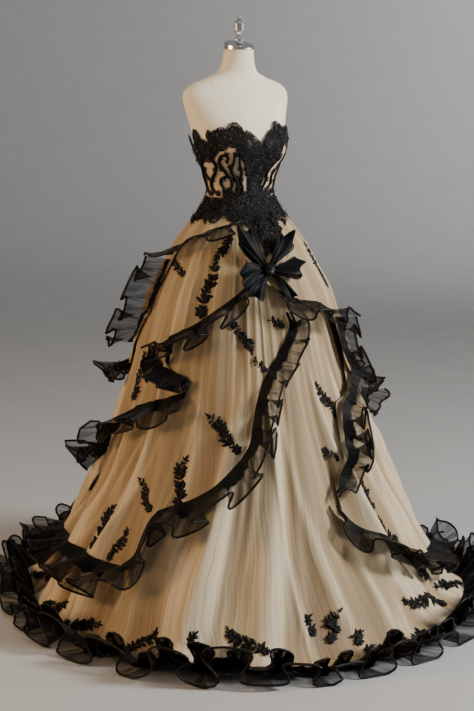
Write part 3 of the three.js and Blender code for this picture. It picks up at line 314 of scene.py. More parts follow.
@dataclass
class Shell:
    """An upright round shape given by its rings, on which cloth lies."""

    heights: Array
    front: Array
    left: Array
    back: Array
    right: Array
    shift: Array
    fold: Array

    @staticmethod
    def from_skirt(rings: Sequence[SkirtRing]) -> "Shell":
        """The shape of the skirt from its rings, made smooth between them."""
        height, front, left, back, right, fold = spline_rows(rings, RING_SAMPLES)[::-1].T
        return Shell(height, front, left, back, right, np.zeros_like(height), fold)

    def bulge(self, turn: Array, height: Array) -> Array:
        """How far the surface swells beyond its rings, which is nowhere on a plain shell."""
        return np.zeros_like(turn * height)

    def radius(self, turn: Array, height: Array) -> Array:
        """The distance of the surface from its centre line.

        Args:
            turn: Turns from the front in degrees, positive towards +X.
            height: Heights in metres.

        Returns:
            The distances in metres.
        """
        sine, cosine = np.sin(np.radians(turn)), np.cos(np.radians(turn))
        side = np.where(sine > 0, np.interp(height, self.heights, self.right),
                        np.interp(height, self.heights, self.left))
        depth = np.where(cosine > 0, np.interp(height, self.heights, self.front),
                         np.interp(height, self.heights, self.back))
        return 1 / np.hypot(sine / side, cosine / depth) + self.bulge(turn, height)

    def spot(self, turn: Array, height: Array) -> Array:
        """The points of the surface at turns and heights."""
        angle = np.radians(turn)
        reach = self.radius(turn, height)
        shift = np.interp(height, self.heights, self.shift)
        return np.stack([reach * np.sin(angle), shift - reach * np.cos(angle),
                         height + np.zeros_like(angle)], axis=-1)

    def normal(self, turn: Array, height: Array) -> Array:
        """The outward directions of the surface at turns and heights."""
        below = np.maximum(height - 0.003, self.heights[0])
        above = np.minimum(height + 0.003, self.heights[-1])
        round_way = self.spot(turn + 0.4, height) - self.spot(turn - 0.4, height)
        up_way = self.spot(turn, above) - self.spot(turn, below)
        return unit(np.cross(round_way, up_way))

    def place(self, turn: Array | float, height: Array | float, lift: Array | float) -> Array:
        """Points that lie outside the surface by a lift in metres."""
        turns, heights, lifts = np.broadcast_arrays(np.asarray(turn, dtype=float), height, lift)
        return self.spot(turns, heights) + self.normal(turns, heights) * lifts[..., None]


@dataclass
class Form(Shell):
    """The dress form's torso, which swells over each cup."""

    bust_turn: float = 30
    bust_height: float = 1.447
    bust_bulge: float = 0.013
    bust_turn_reach: float = 24
    bust_height_reach: float = 0.044

    @staticmethod
    def make() -> "Form":
        """The torso from its rings, made smooth between them."""
        height, side, front, back, shift = spline_rows(FORM_RINGS, RING_SAMPLES)[::-1].T
        return Form(height, front, side, back, side, shift, np.zeros_like(height))

    def bulge(self, turn: Array, height: Array) -> Array:
        """How far the cups swell beyond the rings at turns and heights."""
        away = ((np.abs(turn) - self.bust_turn) / self.bust_turn_reach) ** 2
        off = ((height - self.bust_height) / self.bust_height_reach) ** 2
        return self.bust_bulge * np.exp(-away - off)


class Layer(Enum):
    """How far a layer lies outside the skirt's outline: at the waist, below it and at the hem."""

    BASE = (0.0, -0.0120, -0.0090)
    LOWER = (0.0, -0.0115, 0.0040)
    FLOUNCE = (0.0, -0.0108, 0.0075)
    MIDDLE = (0.0, -0.0093, 0.0105)
    UPPER = (0.0, -0.0062, 0.0200)
    HIP_LACE = (0.0024, -0.0035, 0.0285)


@dataclass
class Ridges:
    """Drifting ridges that gathering leaves in every layer of the skirt."""

    turns: Array
    widths: Array
    heights: Array
    drifts: Array
    starts: Array

    @staticmethod
    def make(narrow: int, deep: int, seed: int) -> "Ridges":
        """Narrow ridges from the waist down, and deep ones that only start lower.

        Args:
            narrow: How many narrow ridges there are all round.
            deep: How many deep ones.
            seed: The seed of their small differences.

        Returns:
            The ridges, each with its own width, height, drift and start.
        """
        chance = np.random.default_rng(seed)
        parts = []
        for count, widths, heights, start in ((narrow, (0.6, 1.9), (0.0020, 0.0070), 0.0),
                                              (deep, (2.0, 4.0), (0.012, 0.024), 0.42)):
            even = np.linspace(-180, 180, count, endpoint=False)
            parts.append((even + chance.uniform(-0.4, 0.4, count) * 360 / count,
                          chance.uniform(*widths, count), chance.uniform(*heights, count),
                          chance.uniform(-15, 15, count), np.full(count, start)))
        return Ridges(*(np.concatenate(column) for column in zip(*parts)))

    def read(self, turn: Array, drop: Array) -> Array:
        """The ridges' heights in metres at turns and drops below the waist."""
        relief = np.zeros_like(turn * drop)
        for centre, width, height, drift, start in zip(self.turns, self.widths, self.heights,
                                                       self.drifts, self.starts):
            away = (turn - centre - drift * drop * drop + 180) % 360 - 180
            grown = np.clip((drop - start) / 0.25, 0, 1) * (0.55 + 0.6 * drop)
            relief += height * grown * np.exp(-(away / (width * (0.8 + 0.4 * drop))) ** 2)
        return relief - RIDGE_LEVEL * np.clip(drop / 0.6, 0, 1)


@dataclass
class Skirt:
    """The skirt's outline with its gathers, and the layers that lie on it."""

    shell: Shell
    ridges: Ridges

    @staticmethod
    def make() -> "Skirt":
        """The skirt from its rings."""
        return Skirt(Shell.from_skirt(SKIRT_RINGS),
                     Ridges.make(NARROW_RIDGES, DEEP_RIDGES, RIDGE_SEED))

    @staticmethod
    def sweep(turn: Array, height: Array) -> Array:
        """How many degrees a fold that starts at a turn has swept outwards at a height."""
        low = smooth_step((WAIST - 0.55 - height) / 0.72)
        return FOLD_SWEEP * np.sin(np.radians(turn - FRONT_TURN)) * low

    def origin(self, turn: Array, height: Array) -> Array:
        """The turns at which the folds that pass through turns and heights start."""
        start = turn
        for _ in range(5):
            start = turn - self.sweep(start, height)
        return start

    def relief(self, turn: Array, height: Array) -> Array:
        """How far the ridges stand out at turns and heights."""
        return self.ridges.read(self.origin(turn, height), WAIST - height)

    def gathers(self, turn: Array, height: Array) -> Array:
        """How far the large gathers stand out at turns and heights."""
        angle = np.radians(turn)
        drift = 1 + 0.22 * np.sin(7 * angle + 1) + 0.12 * np.sin(11 * angle + 2.5)
        share = 0.5 + 0.5 * np.cos(SKIRT_FOLDS * angle)
        return np.interp(height, self.shell.heights, self.shell.fold) * share * drift

    def lift(self, layer: Layer, height: Array) -> Array:
        """How far a layer lies outside the outline at heights."""
        waist, near, far = layer.value
        settle = np.clip((WAIST - height) / BASE_SETTLE, 0, 1)
        spread = np.clip((OVERSKIRT_TOP - height) / LAYER_SPREAD, 0, 1)
        start = waist + (near - waist) * settle
        return start + (far - start) * spread

    def place(self, turn: Array | float, height: Array | float, layer: Layer,
              extra: Array | float = 0.0) -> Array:
        """Points of a layer.

        Args:
            turn: Turns from the front in degrees.
            height: Heights in metres.
            layer: The layer on which the points lie.
            extra: How far they lie outside that layer.

        Returns:
            The points in metres.
        """
        turns, heights = np.broadcast_arrays(np.asarray(turn, dtype=float), height)
        relief = self.gathers(turns, heights) + self.relief(turns, heights)
        spots = self.shell.place(turns, heights, relief + self.lift(layer, heights) + extra)
        spots[..., 2] = np.maximum(spots[..., 2], LOWEST)
        return spots


def mesh_of(name: str, work: bmesh.types.BMesh) -> bpy.types.Mesh:
    """Turns what a bmesh holds into a new mesh, and frees the bmesh."""
    mesh = bpy.data.meshes.new(name)
    work.to_mesh(mesh)
    work.free()
    return mesh


def linked(name: str, data: bpy.types.ID) -> bpy.types.Object:
    """Makes an object of some data and links it to the scene."""
    thing = bpy.data.objects.new(name, data)
    bpy.context.scene.collection.objects.link(thing)
    return thing


def run_along(line: Array) -> Array:
    """How far along a line each of its points lies."""
    return np.concatenate([[0.0], np.cumsum(np.linalg.norm(np.diff(line, axis=0), axis=1))])


# Point attribute: on tulle sheets the painted fold shade (painted shade in troughs, painted
# highlight on ridges), on organza its share from root to edge.
PAINTED_SHADE_AND_SHARE = "fold"


class Flat(NamedTuple):
    """The size of a woven surface: its longest row, its longest column and its area."""

    width: float
    length: float
    area: float

    def stated_area(self) -> float:
        """The area that is stated, which isn't the measured one where the floor raises it."""
        return max(self.area, AREA_FLOOR * self.width * self.length)


@dataclass
class Cloth:
    """A piece of cloth woven over a grid of points.

    The points' first axis runs from the lower or free edge to the upper edge or the root, and the
    second towards larger turns, so that the faces look outwards.
    """

    name: str
    points: Array
    materials: Sequence[bpy.types.Material]
    # The painted fold shade of tulle sheets, and the share from root to edge of organza.
    shade: Array | None = None
    closed_round: bool = False
    closed_up: bool = False
    ends_filled: bool = False

    def flat(self) -> Flat:
        """Measures the woven surface as it lies. Nothing is flattened."""
        along, upward = np.diff(self.points, axis=1), np.diff(self.points, axis=0)
        area = np.linalg.norm(np.cross(0.5 * (along[1:] + along[:-1]),
                                       0.5 * (upward[:, 1:] + upward[:, :-1])), axis=-1).sum()
        width = np.linalg.norm(along, axis=-1).sum(axis=1).max()
        length = np.linalg.norm(upward, axis=-1).sum(axis=0).max()
        return Flat(float(width), float(length), float(area))

    def build(self) -> bpy.types.Object:
        """Weaves the cloth.

        Returns:
            The object, at the origin, with a UV map in metres of cloth.
        """
        rows, columns = self.points.shape[:2]
        work = bmesh.new()
        work.loops.layers.uv.new("Cut")
        bmesh.ops.create_grid(work, x_segments=columns - 1, y_segments=rows - 1, size=0.5,
                              calc_uvs=True)
        mesh = mesh_of(self.name, work)
        spots = np.empty(len(mesh.vertices) * 3)
        mesh.vertices.foreach_get("co", spots)
        spots = spots.reshape(-1, 3)
        column = np.rint((spots[:, 0] + 0.5) * (columns - 1)).astype(int)
        row = np.rint((spots[:, 1] + 0.5) * (rows - 1)).astype(int)
        mesh.vertices.foreach_set("co", self.points[row, column].ravel())
        if self.shade is not None:
            layer = mesh.attributes.new(PAINTED_SHADE_AND_SHARE, "FLOAT", "POINT")
            layer.data.foreach_set("value", self.shade[row, column].astype(np.float32))
        flat = self.flat()
        cut = mesh.uv_layers["Cut"]
        corners = np.empty(len(mesh.loops) * 2)
        cut.data.foreach_get("uv", corners)
        corners = corners.reshape(-1, 2) * np.array([flat.width, flat.length])
        cut.data.foreach_set("uv", corners.ravel())
        if self.closed_round or self.closed_up or self.ends_filled:
            self.close(mesh)
        mesh.shade_smooth()
        for material in self.materials:
            mesh.materials.append(material)
        return linked(self.name, mesh)

    def close(self, mesh: bpy.types.Mesh) -> None:
        """Joins the meeting edges of the cloth, and fills its ends where it is a closed body."""
        work = bmesh.new()
        work.from_mesh(mesh)
        bmesh.ops.remove_doubles(work, verts=work.verts, dist=1e-6)
        if self.ends_filled:
            open_edges = [one for one in work.edges if one.is_boundary]
            bmesh.ops.holes_fill(work, edges=open_edges, sides=0)
            bmesh.ops.recalc_face_normals(work, faces=work.faces)
        work.to_mesh(mesh)
        work.free()


class Held(Enum):
    """How a sheet of cloth is kept in its shape."""

    GATHERED = "gathered"
    LAID = "laid"
    FOLDED = "folded"
    STRETCHED = "stretched"


@dataclass
class Declared:
    """What the scene says about a finished piece."""

    slot: str
    replaces: Sequence[str] = ()
    held: Held | None = None
    rests_on: Sequence[str] = ()
    with_pieces: Sequence[bpy.types.Object] = ()

    def apply(self, thing: bpy.types.Object, flat: Flat | None = None) -> bpy.types.Object:
        """Attaches a finished piece to the body, hides the parts it replaces, and logs its faces
        and flat size.

        Args:
            thing: The piece.
            flat: Its flat size where it is a sheet of cloth.

        Returns:
            The same piece.
        """
        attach(thing, BODY)
        if self.replaces:
            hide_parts(*self.replaces)
        if self.held is not None and flat is not None:
            stated = flat.stated_area()
            if stated > flat.area:
                LOG.warning("%s: measured area %.4f m2 is below the floor, %.4f m2 is stated",
                            thing.name, flat.area, stated)
            list(self.rests_on)
            list(self.with_pieces)
        faces = len(thing.data.polygons)
        LOG.info("%s: %d faces, flat %s", thing.name, faces, flat and [round(v, 2) for v in flat])
        return thing


@dataclass
class Tree:
    """Adds shader nodes to one node tree and joins them."""

    tree: bpy.types.NodeTree

    def add(self, kind: str, **settings: object) -> bpy.types.Node:
        """A new node with its settings, by their names in Blender."""
        node = self.tree.nodes.new(kind)
        for name, value in settings.items():
            setattr(node, name, value)
        return node

    def join(self, source: bpy.types.NodeSocket, target: bpy.types.NodeSocket) -> None:
        """Links two sockets."""
        self.tree.links.new(source, target)

    def math(self, operation: str, first: bpy.types.NodeSocket | float,
             second: bpy.types.NodeSocket | float = 0.0) -> bpy.types.NodeSocket:
        """One sum of two values.

        Args:
            operation: Blender's name of the operation.
            first: A socket or a number.
            second: A socket or a number.

        Returns:
            The socket with the result.
        """
        node = self.add("ShaderNodeMath", operation=operation)
        for place, value in enumerate((first, second)):
            if isinstance(value, (int, float)):
                node.inputs[place].default_value = value
            else:
                self.join(value, node.inputs[place])
        return node.outputs[0]

    def blend(self, factor: bpy.types.NodeSocket | float,
              first: bpy.types.NodeSocket | Sequence[float],
              second: bpy.types.NodeSocket | Sequence[float]) -> bpy.types.NodeSocket:
        """A colour between two others, each a socket or four numbers."""
        node = self.add("ShaderNodeMix", data_type="RGBA")
        for place, value in ((0, factor), (6, first), (7, second)):
            if isinstance(value, bpy.types.NodeSocket):
                self.join(value, node.inputs[place])
            else:
                node.inputs[place].default_value = value
        return node.outputs[2]

    def scaled(self, vector: bpy.types.NodeSocket, scale: Sequence[float],
               shift: Sequence[float] = (0, 0, 0)) -> bpy.types.NodeSocket:
        """A vector with each part multiplied by its own number and shifted."""
        node = self.add("ShaderNodeMapping")
        self.join(vector, node.inputs["Vector"])
        node.inputs["Scale"].default_value = scale
        node.inputs["Location"].default_value = shift
        return node.outputs["Vector"]

    def noise(self, vector: bpy.types.NodeSocket, scale: float,
              detail: float = 3.0, distortion: float = 0.0) -> bpy.types.NodeSocket:
        """The value of a noise over a vector, from 0 to 1."""
        node = self.add("ShaderNodeTexNoise")
        self.join(vector, node.inputs["Vector"])
        node.inputs["Scale"].default_value = scale
        node.inputs["Detail"].default_value = detail
        node.inputs["Distortion"].default_value = distortion
        return node.outputs["Fac"]

    def spread(self, value: bpy.types.NodeSocket, low: float, high: float,
               to_low: float = 0.0, to_high: float = 1.0) -> bpy.types.NodeSocket:
        """A value stretched from one range to another, and held inside it."""
        node = self.add("ShaderNodeMapRange", clamp=True)
        self.join(value, node.inputs["Value"])
        for name, number in (("From Min", low), ("From Max", high),
                             ("To Min", to_low), ("To Max", to_high)):
            node.inputs[name].default_value = number
        return node.outputs["Result"]


class Pattern:
    """The shared node groups, each of which outputs only values."""

    @staticmethod
    def start(name: str, inputs: Sequence[tuple[str, str, float]],
              outputs: Sequence[str],
               ) -> tuple[bpy.types.NodeTree, Tree, bpy.types.Node, bpy.types.Node]:
        """A new node group.

        Args:
            name: The group's name.
            inputs: Each input's name, its socket type and its usual value.
            outputs: The names of the outputs, which are all values.

        Returns:
            The group, its builder, and its input and output nodes.
        """
        group = bpy.data.node_groups.new(name, "ShaderNodeTree")
        for label, kind, value in inputs:
            socket = group.interface.new_socket(label, in_out="INPUT", socket_type=kind)
            if kind == "NodeSocketFloat":
                socket.default_value = value
        for label in outputs:
            group.interface.new_socket(label, in_out="OUTPUT", socket_type="NodeSocketFloat")
        tree = Tree(group)
        return group, tree, tree.add("NodeGroupInput"), tree.add("NodeGroupOutput")

    @staticmethod
    def streaks() -> bpy.types.NodeTree:
        """Fine lines that run up the cloth, wider and narrower, over its own flat size."""
        group, tree, given, result = Pattern.start(
            "Streaks", [("Cut", "NodeSocketVector", 0.0), ("Fineness", "NodeSocketFloat", 1.0)],
            ["Value", "Height"])
        size = tree.add("ShaderNodeVectorMath", operation="SCALE")
        tree.join(given.outputs["Cut"], size.inputs[0])
        tree.join(given.outputs["Fineness"], size.inputs["Scale"])
        drift = tree.add("ShaderNodeTexNoise")
        drift.inputs["Scale"].default_value = 1.7
        tree.join(size.outputs[0], drift.inputs["Vector"])
        bent = tree.add("ShaderNodeVectorMath", operation="MULTIPLY_ADD")
        tree.join(drift.outputs["Color"], bent.inputs[0])
        bent.inputs[1].default_value = (0.16, 0.0, 0.0)
        tree.join(size.outputs[0], bent.inputs[2])
        broad = tree.noise(tree.scaled(bent.outputs[0], (15, 0.7, 1)), 1.0, 2.0, 0.5)
        narrow = tree.noise(tree.scaled(bent.outputs[0], (120, 1.0, 1)), 1.0, 2.0, 0.5)
        total = tree.math("ADD", tree.math("MULTIPLY", broad, 0.52),
                          tree.math("MULTIPLY", narrow, 0.48))
        tree.join(tree.spread(total, 0.32, 0.68), result.inputs["Value"])
        tree.join(total, result.inputs["Height"])
        return group

    @staticmethod
    def net() -> bpy.types.NodeTree:
        """The fine six-sided net of tulle, over the cloth's own flat size."""
        group, tree, given, result = Pattern.start(
            "Net", [("Cut", "NodeSocketVector", 0.0), ("Cell", "NodeSocketFloat", 520.0)], ["Line"])
        cells = tree.add("ShaderNodeTexVoronoi", feature="DISTANCE_TO_EDGE")
        cells.inputs["Randomness"].default_value = 0.35
        tree.join(given.outputs["Cut"], cells.inputs["Vector"])
        tree.join(given.outputs["Cell"], cells.inputs["Scale"])
        tree.join(tree.spread(cells.outputs["Distance"], 0.03, 0.14, 1, 0), result.inputs["Line"])
        return group

    @staticmethod
    def cover() -> bpy.types.NodeTree:
        """How dense gathered organza is: full at the root, and partly full towards the edge."""
        group, tree, given, result = Pattern.start(
            "Cover", [("Cut", "NodeSocketVector", 0.0), ("Share", "NodeSocketFloat", 0.5),
                      ("Sheer", "NodeSocketFloat", 0.6)], ["Density", "Pleat"])
        pleats = tree.noise(tree.scaled(given.outputs["Cut"], (60, 7, 1)), 1.0, 3.0, 0.5)
        wander = tree.noise(tree.scaled(given.outputs["Cut"], (14, 2, 1)), 1.0, 2.0)
        border = tree.math("ADD", given.outputs["Share"],
                           tree.math("MULTIPLY", tree.math("SUBTRACT", wander, 0.5), 0.5))
        dense = tree.spread(border, 0.42, 0.56, 1, 0)
        thin = tree.math("ADD", given.outputs["Sheer"],
                         tree.math("MULTIPLY", tree.spread(pleats, 0.42, 0.68), 0.36))
        tree.join(tree.math("MINIMUM", tree.math("MAXIMUM", dense, thin), 1.0),
                  result.inputs["Density"])
        tree.join(pleats, result.inputs["Pleat"])
        return group

    @staticmethod
    def lace() -> bpy.types.NodeTree:
        """Where lace has threads and flower-like figures, over the piece's own flat size."""
        group, tree, given, result = Pattern.start(
            "Lace", [("Cut", "NodeSocketVector", 0.0), ("Fill", "NodeSocketFloat", 0.5)],
            ["Mask", "Relief"])
        bent = tree.add("ShaderNodeTexNoise")
        bent.inputs["Scale"].default_value = 26.0
        tree.join(given.outputs["Cut"], bent.inputs["Vector"])
        push = tree.add("ShaderNodeVectorMath", operation="MULTIPLY_ADD")
        tree.join(bent.outputs["Color"], push.inputs[0])
        push.inputs[1].default_value = (0.02, 0.02, 0)
        tree.join(given.outputs["Cut"], push.inputs[2])
        figure = tree.add("ShaderNodeTexVoronoi", feature="SMOOTH_F1")
        figure.inputs["Scale"].default_value = 44.0
        figure.inputs["Smoothness"].default_value = 0.3
        tree.join(push.outputs[0], figure.inputs["Vector"])
        rings = tree.math("SINE", tree.math("MULTIPLY", figure.outputs["Distance"], 17.0))
        mesh = tree.add("ShaderNodeTexVoronoi", feature="DISTANCE_TO_EDGE")
        mesh.inputs["Scale"].default_value = 260.0
        tree.join(given.outputs["Cut"], mesh.inputs["Vector"])
        thread = tree.spread(mesh.outputs["Distance"], 0.08, 0.16, 1, 0)
        solid = tree.spread(tree.math("ADD", rings, given.outputs["Fill"]), 0.05, 0.3)
        tree.join(tree.math("MAXIMUM", solid, thread), result.inputs["Mask"])
        tree.join(tree.math("ADD", solid, tree.math("MULTIPLY", thread, 0.3)),
                  result.inputs["Relief"])
        return group


Color = tuple[float, float, float, float]


def srgb(red: int, green: int, blue: int) -> Color:
    """A colour from its three values of 0 to 255 on a screen."""
    parts = [value / 255 for value in (red, green, blue)]
    linear = [part / 12.92 if part <= 0.04045 else ((part + 0.055) / 1.055) ** 2.4
              for part in parts]
    return (linear[0], linear[1], linear[2], 1.0)


@dataclass(frozen=True)
class Finish:
    """What every finish has: its name, its colour and how rough it is."""

    name: str
    color: Color
    roughness: float

    def open(self) -> tuple[bpy.types.Material, Tree, bpy.types.Node]:
        """A new material with one shader that has this finish's plain values."""
        material = bpy.data.materials.new(self.name)
        material.use_nodes = True
        tree = Tree(material.node_tree)
        shader = material.node_tree.nodes["Principled BSDF"]
        shader.inputs["Base Color"].default_value = self.color
        shader.inputs["Roughness"].default_value = self.roughness
        return material, tree, shader

    def cut(self, tree: Tree) -> bpy.types.NodeSocket:
        """The piece's own flat measures."""
        return tree.add("ShaderNodeUVMap", uv_map="Cut").outputs["UV"]

    def bump(self, tree: Tree, shader: bpy.types.Node, height: bpy.types.NodeSocket,
             strength: float, distance: float) -> None:
        """Lets a height shape the shader's surface."""
        node = tree.add("ShaderNodeBump")
        node.inputs["Strength"].default_value = strength
        node.inputs["Distance"].default_value = distance
        tree.join(height, node.inputs["Height"])
        tree.join(node.outputs["Normal"], shader.inputs["Normal"])


@dataclass(frozen=True)
class Tulle(Finish):
    """Gathered fine net over a paler ground: painted shade in its fold troughs, painted highlight
    on its ridges.
    """

    # ridge is the painted highlight colour on fold ridges; painted_trough_shade is the painted
    # shade colour in fold troughs.
    ridge: Color = srgb(222, 208, 180)
    painted_trough_shade: Color = srgb(122, 96, 62)
    fineness: float = 1.0
    streaked: float = 0.42

    def build(self, groups: dict[str, bpy.types.NodeTree]) -> bpy.types.Material:
        """The material of this finish."""
        material, tree, shader = self.open()
        cut = self.cut(tree)
        streaks = tree.add("ShaderNodeGroup", node_tree=groups["streaks"])
        tree.join(cut, streaks.inputs["Cut"])
        streaks.inputs["Fineness"].default_value = self.fineness
        net = tree.add("ShaderNodeGroup", node_tree=groups["net"])
        tree.join(cut, net.inputs["Cut"])
        # Painted fold shade from the attribute, mixed with the streaks: painted shade towards the
        # troughs, painted highlight on the ridges.
        fold = tree.add("ShaderNodeAttribute", attribute_name=PAINTED_SHADE_AND_SHARE).outputs["Fac"]
        tone = tree.math("ADD", tree.math("MULTIPLY", fold, 0.62),
                         tree.math("MULTIPLY", streaks.outputs["Value"], self.streaked))
        base = tree.blend(tree.spread(tone, 0.14, 0.78), self.painted_trough_shade, self.color)
        # Painted highlight: blends towards the ridge colour on the highest ridges.
        pale = tree.spread(tone, 0.62, 1.0)
        tree.join(tree.blend(pale, base, self.ridge), shader.inputs["Base Color"])
        height = tree.math("ADD", streaks.outputs["Height"],
                           tree.math("MULTIPLY", net.outputs["Line"], 0.06))
        self.bump(tree, shader, height, 0.5, 0.004)
        shader.inputs["Sheen Weight"].default_value = 0.35
        shader.inputs["Sheen Roughness"].default_value = 0.4
        shader.inputs["Sheen Tint"].default_value = srgb(255, 236, 205)
        return material


@dataclass(frozen=True)
class Organza(Finish):
    """Sheer black cloth, dense where it is gathered."""

    sheer: float = 0.6
    sheen: float = 0.06

    def build(self, groups: dict[str, bpy.types.NodeTree]) -> bpy.types.Material:
        """The material of this finish."""
        material, tree, shader = self.open()
        cut = self.cut(tree)
        cover = tree.add("ShaderNodeGroup", node_tree=groups["cover"])
        tree.join(cut, cover.inputs["Cut"])
        share = tree.add("ShaderNodeAttribute", attribute_name=PAINTED_SHADE_AND_SHARE).outputs["Fac"]
        tree.join(share, cover.inputs["Share"])
        cover.inputs["Sheer"].default_value = self.sheer
        tree.join(cover.outputs["Density"], shader.inputs["Alpha"])
        dark = tree.blend(tree.spread(cover.outputs["Density"], 0.6, 1.0),
                          srgb(30, 21, 16), self.color)
        tree.join(dark, shader.inputs["Base Color"])
        self.bump(tree, shader, cover.outputs["Pleat"], 0.7, 0.006)
        shader.inputs["Sheen Weight"].default_value = self.sheen
        shader.inputs["Sheen Tint"].default_value = srgb(150, 160, 180)
        shader.inputs["Sheen Roughness"].default_value = 0.35
        shader.inputs["Specular IOR Level"].default_value = 0.14
        return material


@dataclass(frozen=True)
class Lace(Finish):
    """Black lace whose ground is an open net."""

    fill: float = 0.5

    def build(self, groups: dict[str, bpy.types.NodeTree]) -> bpy.types.Material:
        """The material of this finish."""
        material, tree, shader = self.open()
        lace = tree.add("ShaderNodeGroup", node_tree=groups["lace"])
        tree.join(self.cut(tree), lace.inputs["Cut"])
        lace.inputs["Fill"].default_value = self.fill
        tree.join(lace.outputs["Mask"], shader.inputs["Alpha"])
        self.bump(tree, shader, lace.outputs["Relief"], 0.8, 0.003)
        shader.inputs["Specular IOR Level"].default_value = 0.16
        return material


@dataclass(frozen=True)
class Plain(Finish):
    """A finish that is the same all over, with a slight unevenness in its colour and its face."""

    metallic: float = 0.0
    sheen: float = 0.0
    coat: float = 0.0
    specular: float = 0.5
    grain: float = 120.0
    uneven: float = 0.12
    relief: float = 0.0006
    stretch: tuple[float, float, float] = (1, 1, 1)

    def build(self, groups: dict[str, bpy.types.NodeTree]) -> bpy.types.Material:
        """The material of this finish."""
        material, tree, shader = self.open()
        spot = tree.add("ShaderNodeTexCoord").outputs["Object"]
        grain = tree.noise(tree.scaled(spot, self.stretch), self.grain, 4.0)
        darker = tuple(part * (1 - 2 * self.uneven) for part in self.color[:3]) + (1.0,)
        tree.join(tree.blend(tree.spread(grain, 0.3, 0.7), darker, self.color),
                  shader.inputs["Base Color"])
        tree.join(tree.spread(grain, 0.3, 0.7, self.roughness * 1.12, self.roughness * 0.88),
                  shader.inputs["Roughness"])
        self.bump(tree, shader, grain, 0.4, self.relief)
        shader.inputs["Metallic"].default_value = self.metallic
        shader.inputs["Sheen Weight"].default_value = self.sheen
        shader.inputs["Coat Weight"].default_value = self.coat
        shader.inputs["Specular IOR Level"].default_value = self.specular
        return material


class Finishes:
    """Every material of the gown and its form."""

    def __init__(self) -> None:
        """Makes the shared groups and then the materials."""
        groups = {"streaks": Pattern.streaks(), "net": Pattern.net(),
                  "cover": Pattern.cover(), "lace": Pattern.lace()}
        # Both tulles paint shade in their fold troughs and a highlight on their fold ridges,
        # gathers and swags.
        self.skirt = Tulle("Champagne_Tulle", srgb(187, 165, 129), 0.62).build(groups)
        self.drape = Tulle("Draped_Tulle", srgb(188, 166, 128), 0.58,
                           ridge=srgb(220, 205, 178), painted_trough_shade=srgb(126, 98, 60),
                           fineness=1.2, streaked=0.3).build(groups)
        self.ruffle = Organza("Black_Organza", srgb(12, 12, 12), 0.6, sheer=0.52,
                              sheen=0.10).build(groups)
        self.loops = Organza("Knot_Organza", srgb(8, 10, 14), 0.5, sheer=0.62,
                             sheen=0.14).build(groups)
        self.dense = Organza("Gathered_Organza", srgb(9, 8, 9), 0.6, sheer=0.9).build(groups)
        self.binding = Plain("Organza_Binding", srgb(12, 8, 6), 0.42, specular=0.22,
                             grain=300).build(groups)
        self.lace = Lace("Black_Lace", srgb(9, 9, 11), 0.5, fill=0.85).build(groups)
        self.open_lace = Lace("Open_Lace", srgb(9, 9, 11), 0.5, fill=0.1).build(groups)
        self.satin = Plain("Champagne_Satin", srgb(206, 182, 148), 0.5, sheen=0.3,
                           grain=60, uneven=0.1).build(groups)
        self.thread = Plain("Black_Cord", srgb(9, 8, 9), 0.5, specular=0.18, grain=500,
                            relief=0.001).build(groups)
        self.beads = Plain("Jet_Beads", srgb(38, 42, 52), 0.14, coat=0.6, grain=90).build(groups)
        self.jersey = Plain("Ivory_Jersey", srgb(253, 242, 214), 0.8, sheen=0.2, grain=700,
                            uneven=0.04, relief=0.0004).build(groups)
        self.chrome = Plain("Polished_Chrome", srgb(232, 233, 236), 0.24, metallic=1.0,
                            grain=8, uneven=0.03, relief=0.0001).build(groups)
        self.steel = Plain("Brushed_Steel", srgb(166, 168, 172), 0.36, metallic=1.0, grain=180,
                           uneven=0.08, stretch=(1, 1, 0.05)).build(groups)
        self.floor = Plain("Pale_Floor", srgb(190, 191, 192), 0.75, grain=5, uneven=0.02,
                           relief=0.0002).build(groups)


@dataclass
class View:
    """The camera, which looks slightly down at the gown's front from its right."""

    azimuth: float = -32.0
    distance: float = 4.92
    height: float = 1.737
    pitch: float = 10.83
    lens: float = 53.907
    sensor: float = 24.0
    shift: float = -3 / 711

    def build(self) -> bpy.types.Object:
        """Places the camera and makes it the scene's own."""
        data = bpy.data.cameras.new("View")
        data.sensor_fit = "VERTICAL"
        data.sensor_height = self.sensor
        data.lens = self.lens
        data.shift_x = self.shift
        data.clip_start = 0.1
        data.clip_end = 60
        camera = bpy.data.objects.new("View", data)
        turn = math.radians(self.azimuth)
        camera.location = (self.distance * math.sin(turn), -self.distance * math.cos(turn),
                           self.height)
        camera.rotation_euler = (math.radians(90 - self.pitch), 0, turn)
        bpy.context.scene.collection.objects.link(camera)
        bpy.context.scene.camera = camera
        return camera


@dataclass
class Lamp:
    """One area light that points at the gown."""

    name: str
    spot: tuple[float, float, float]
    aim: tuple[float, float, float]
    size: float
    power: float
    color: tuple[float, float, float] = (1.0, 1.0, 1.0)

    def build(self) -> bpy.types.Object:
        """Places the light."""
        data = bpy.data.lights.new(self.name, "AREA")
        data.energy = self.power
        data.size = self.size
        data.color = self.color
        lamp = bpy.data.objects.new(self.name, data)
        lamp.location = self.spot
        way = Vector(self.aim) - Vector(self.spot)
        lamp.rotation_euler = way.to_track_quat("-Z", "Y").to_euler()
        bpy.context.scene.collection.objects.link(lamp)
        return lamp


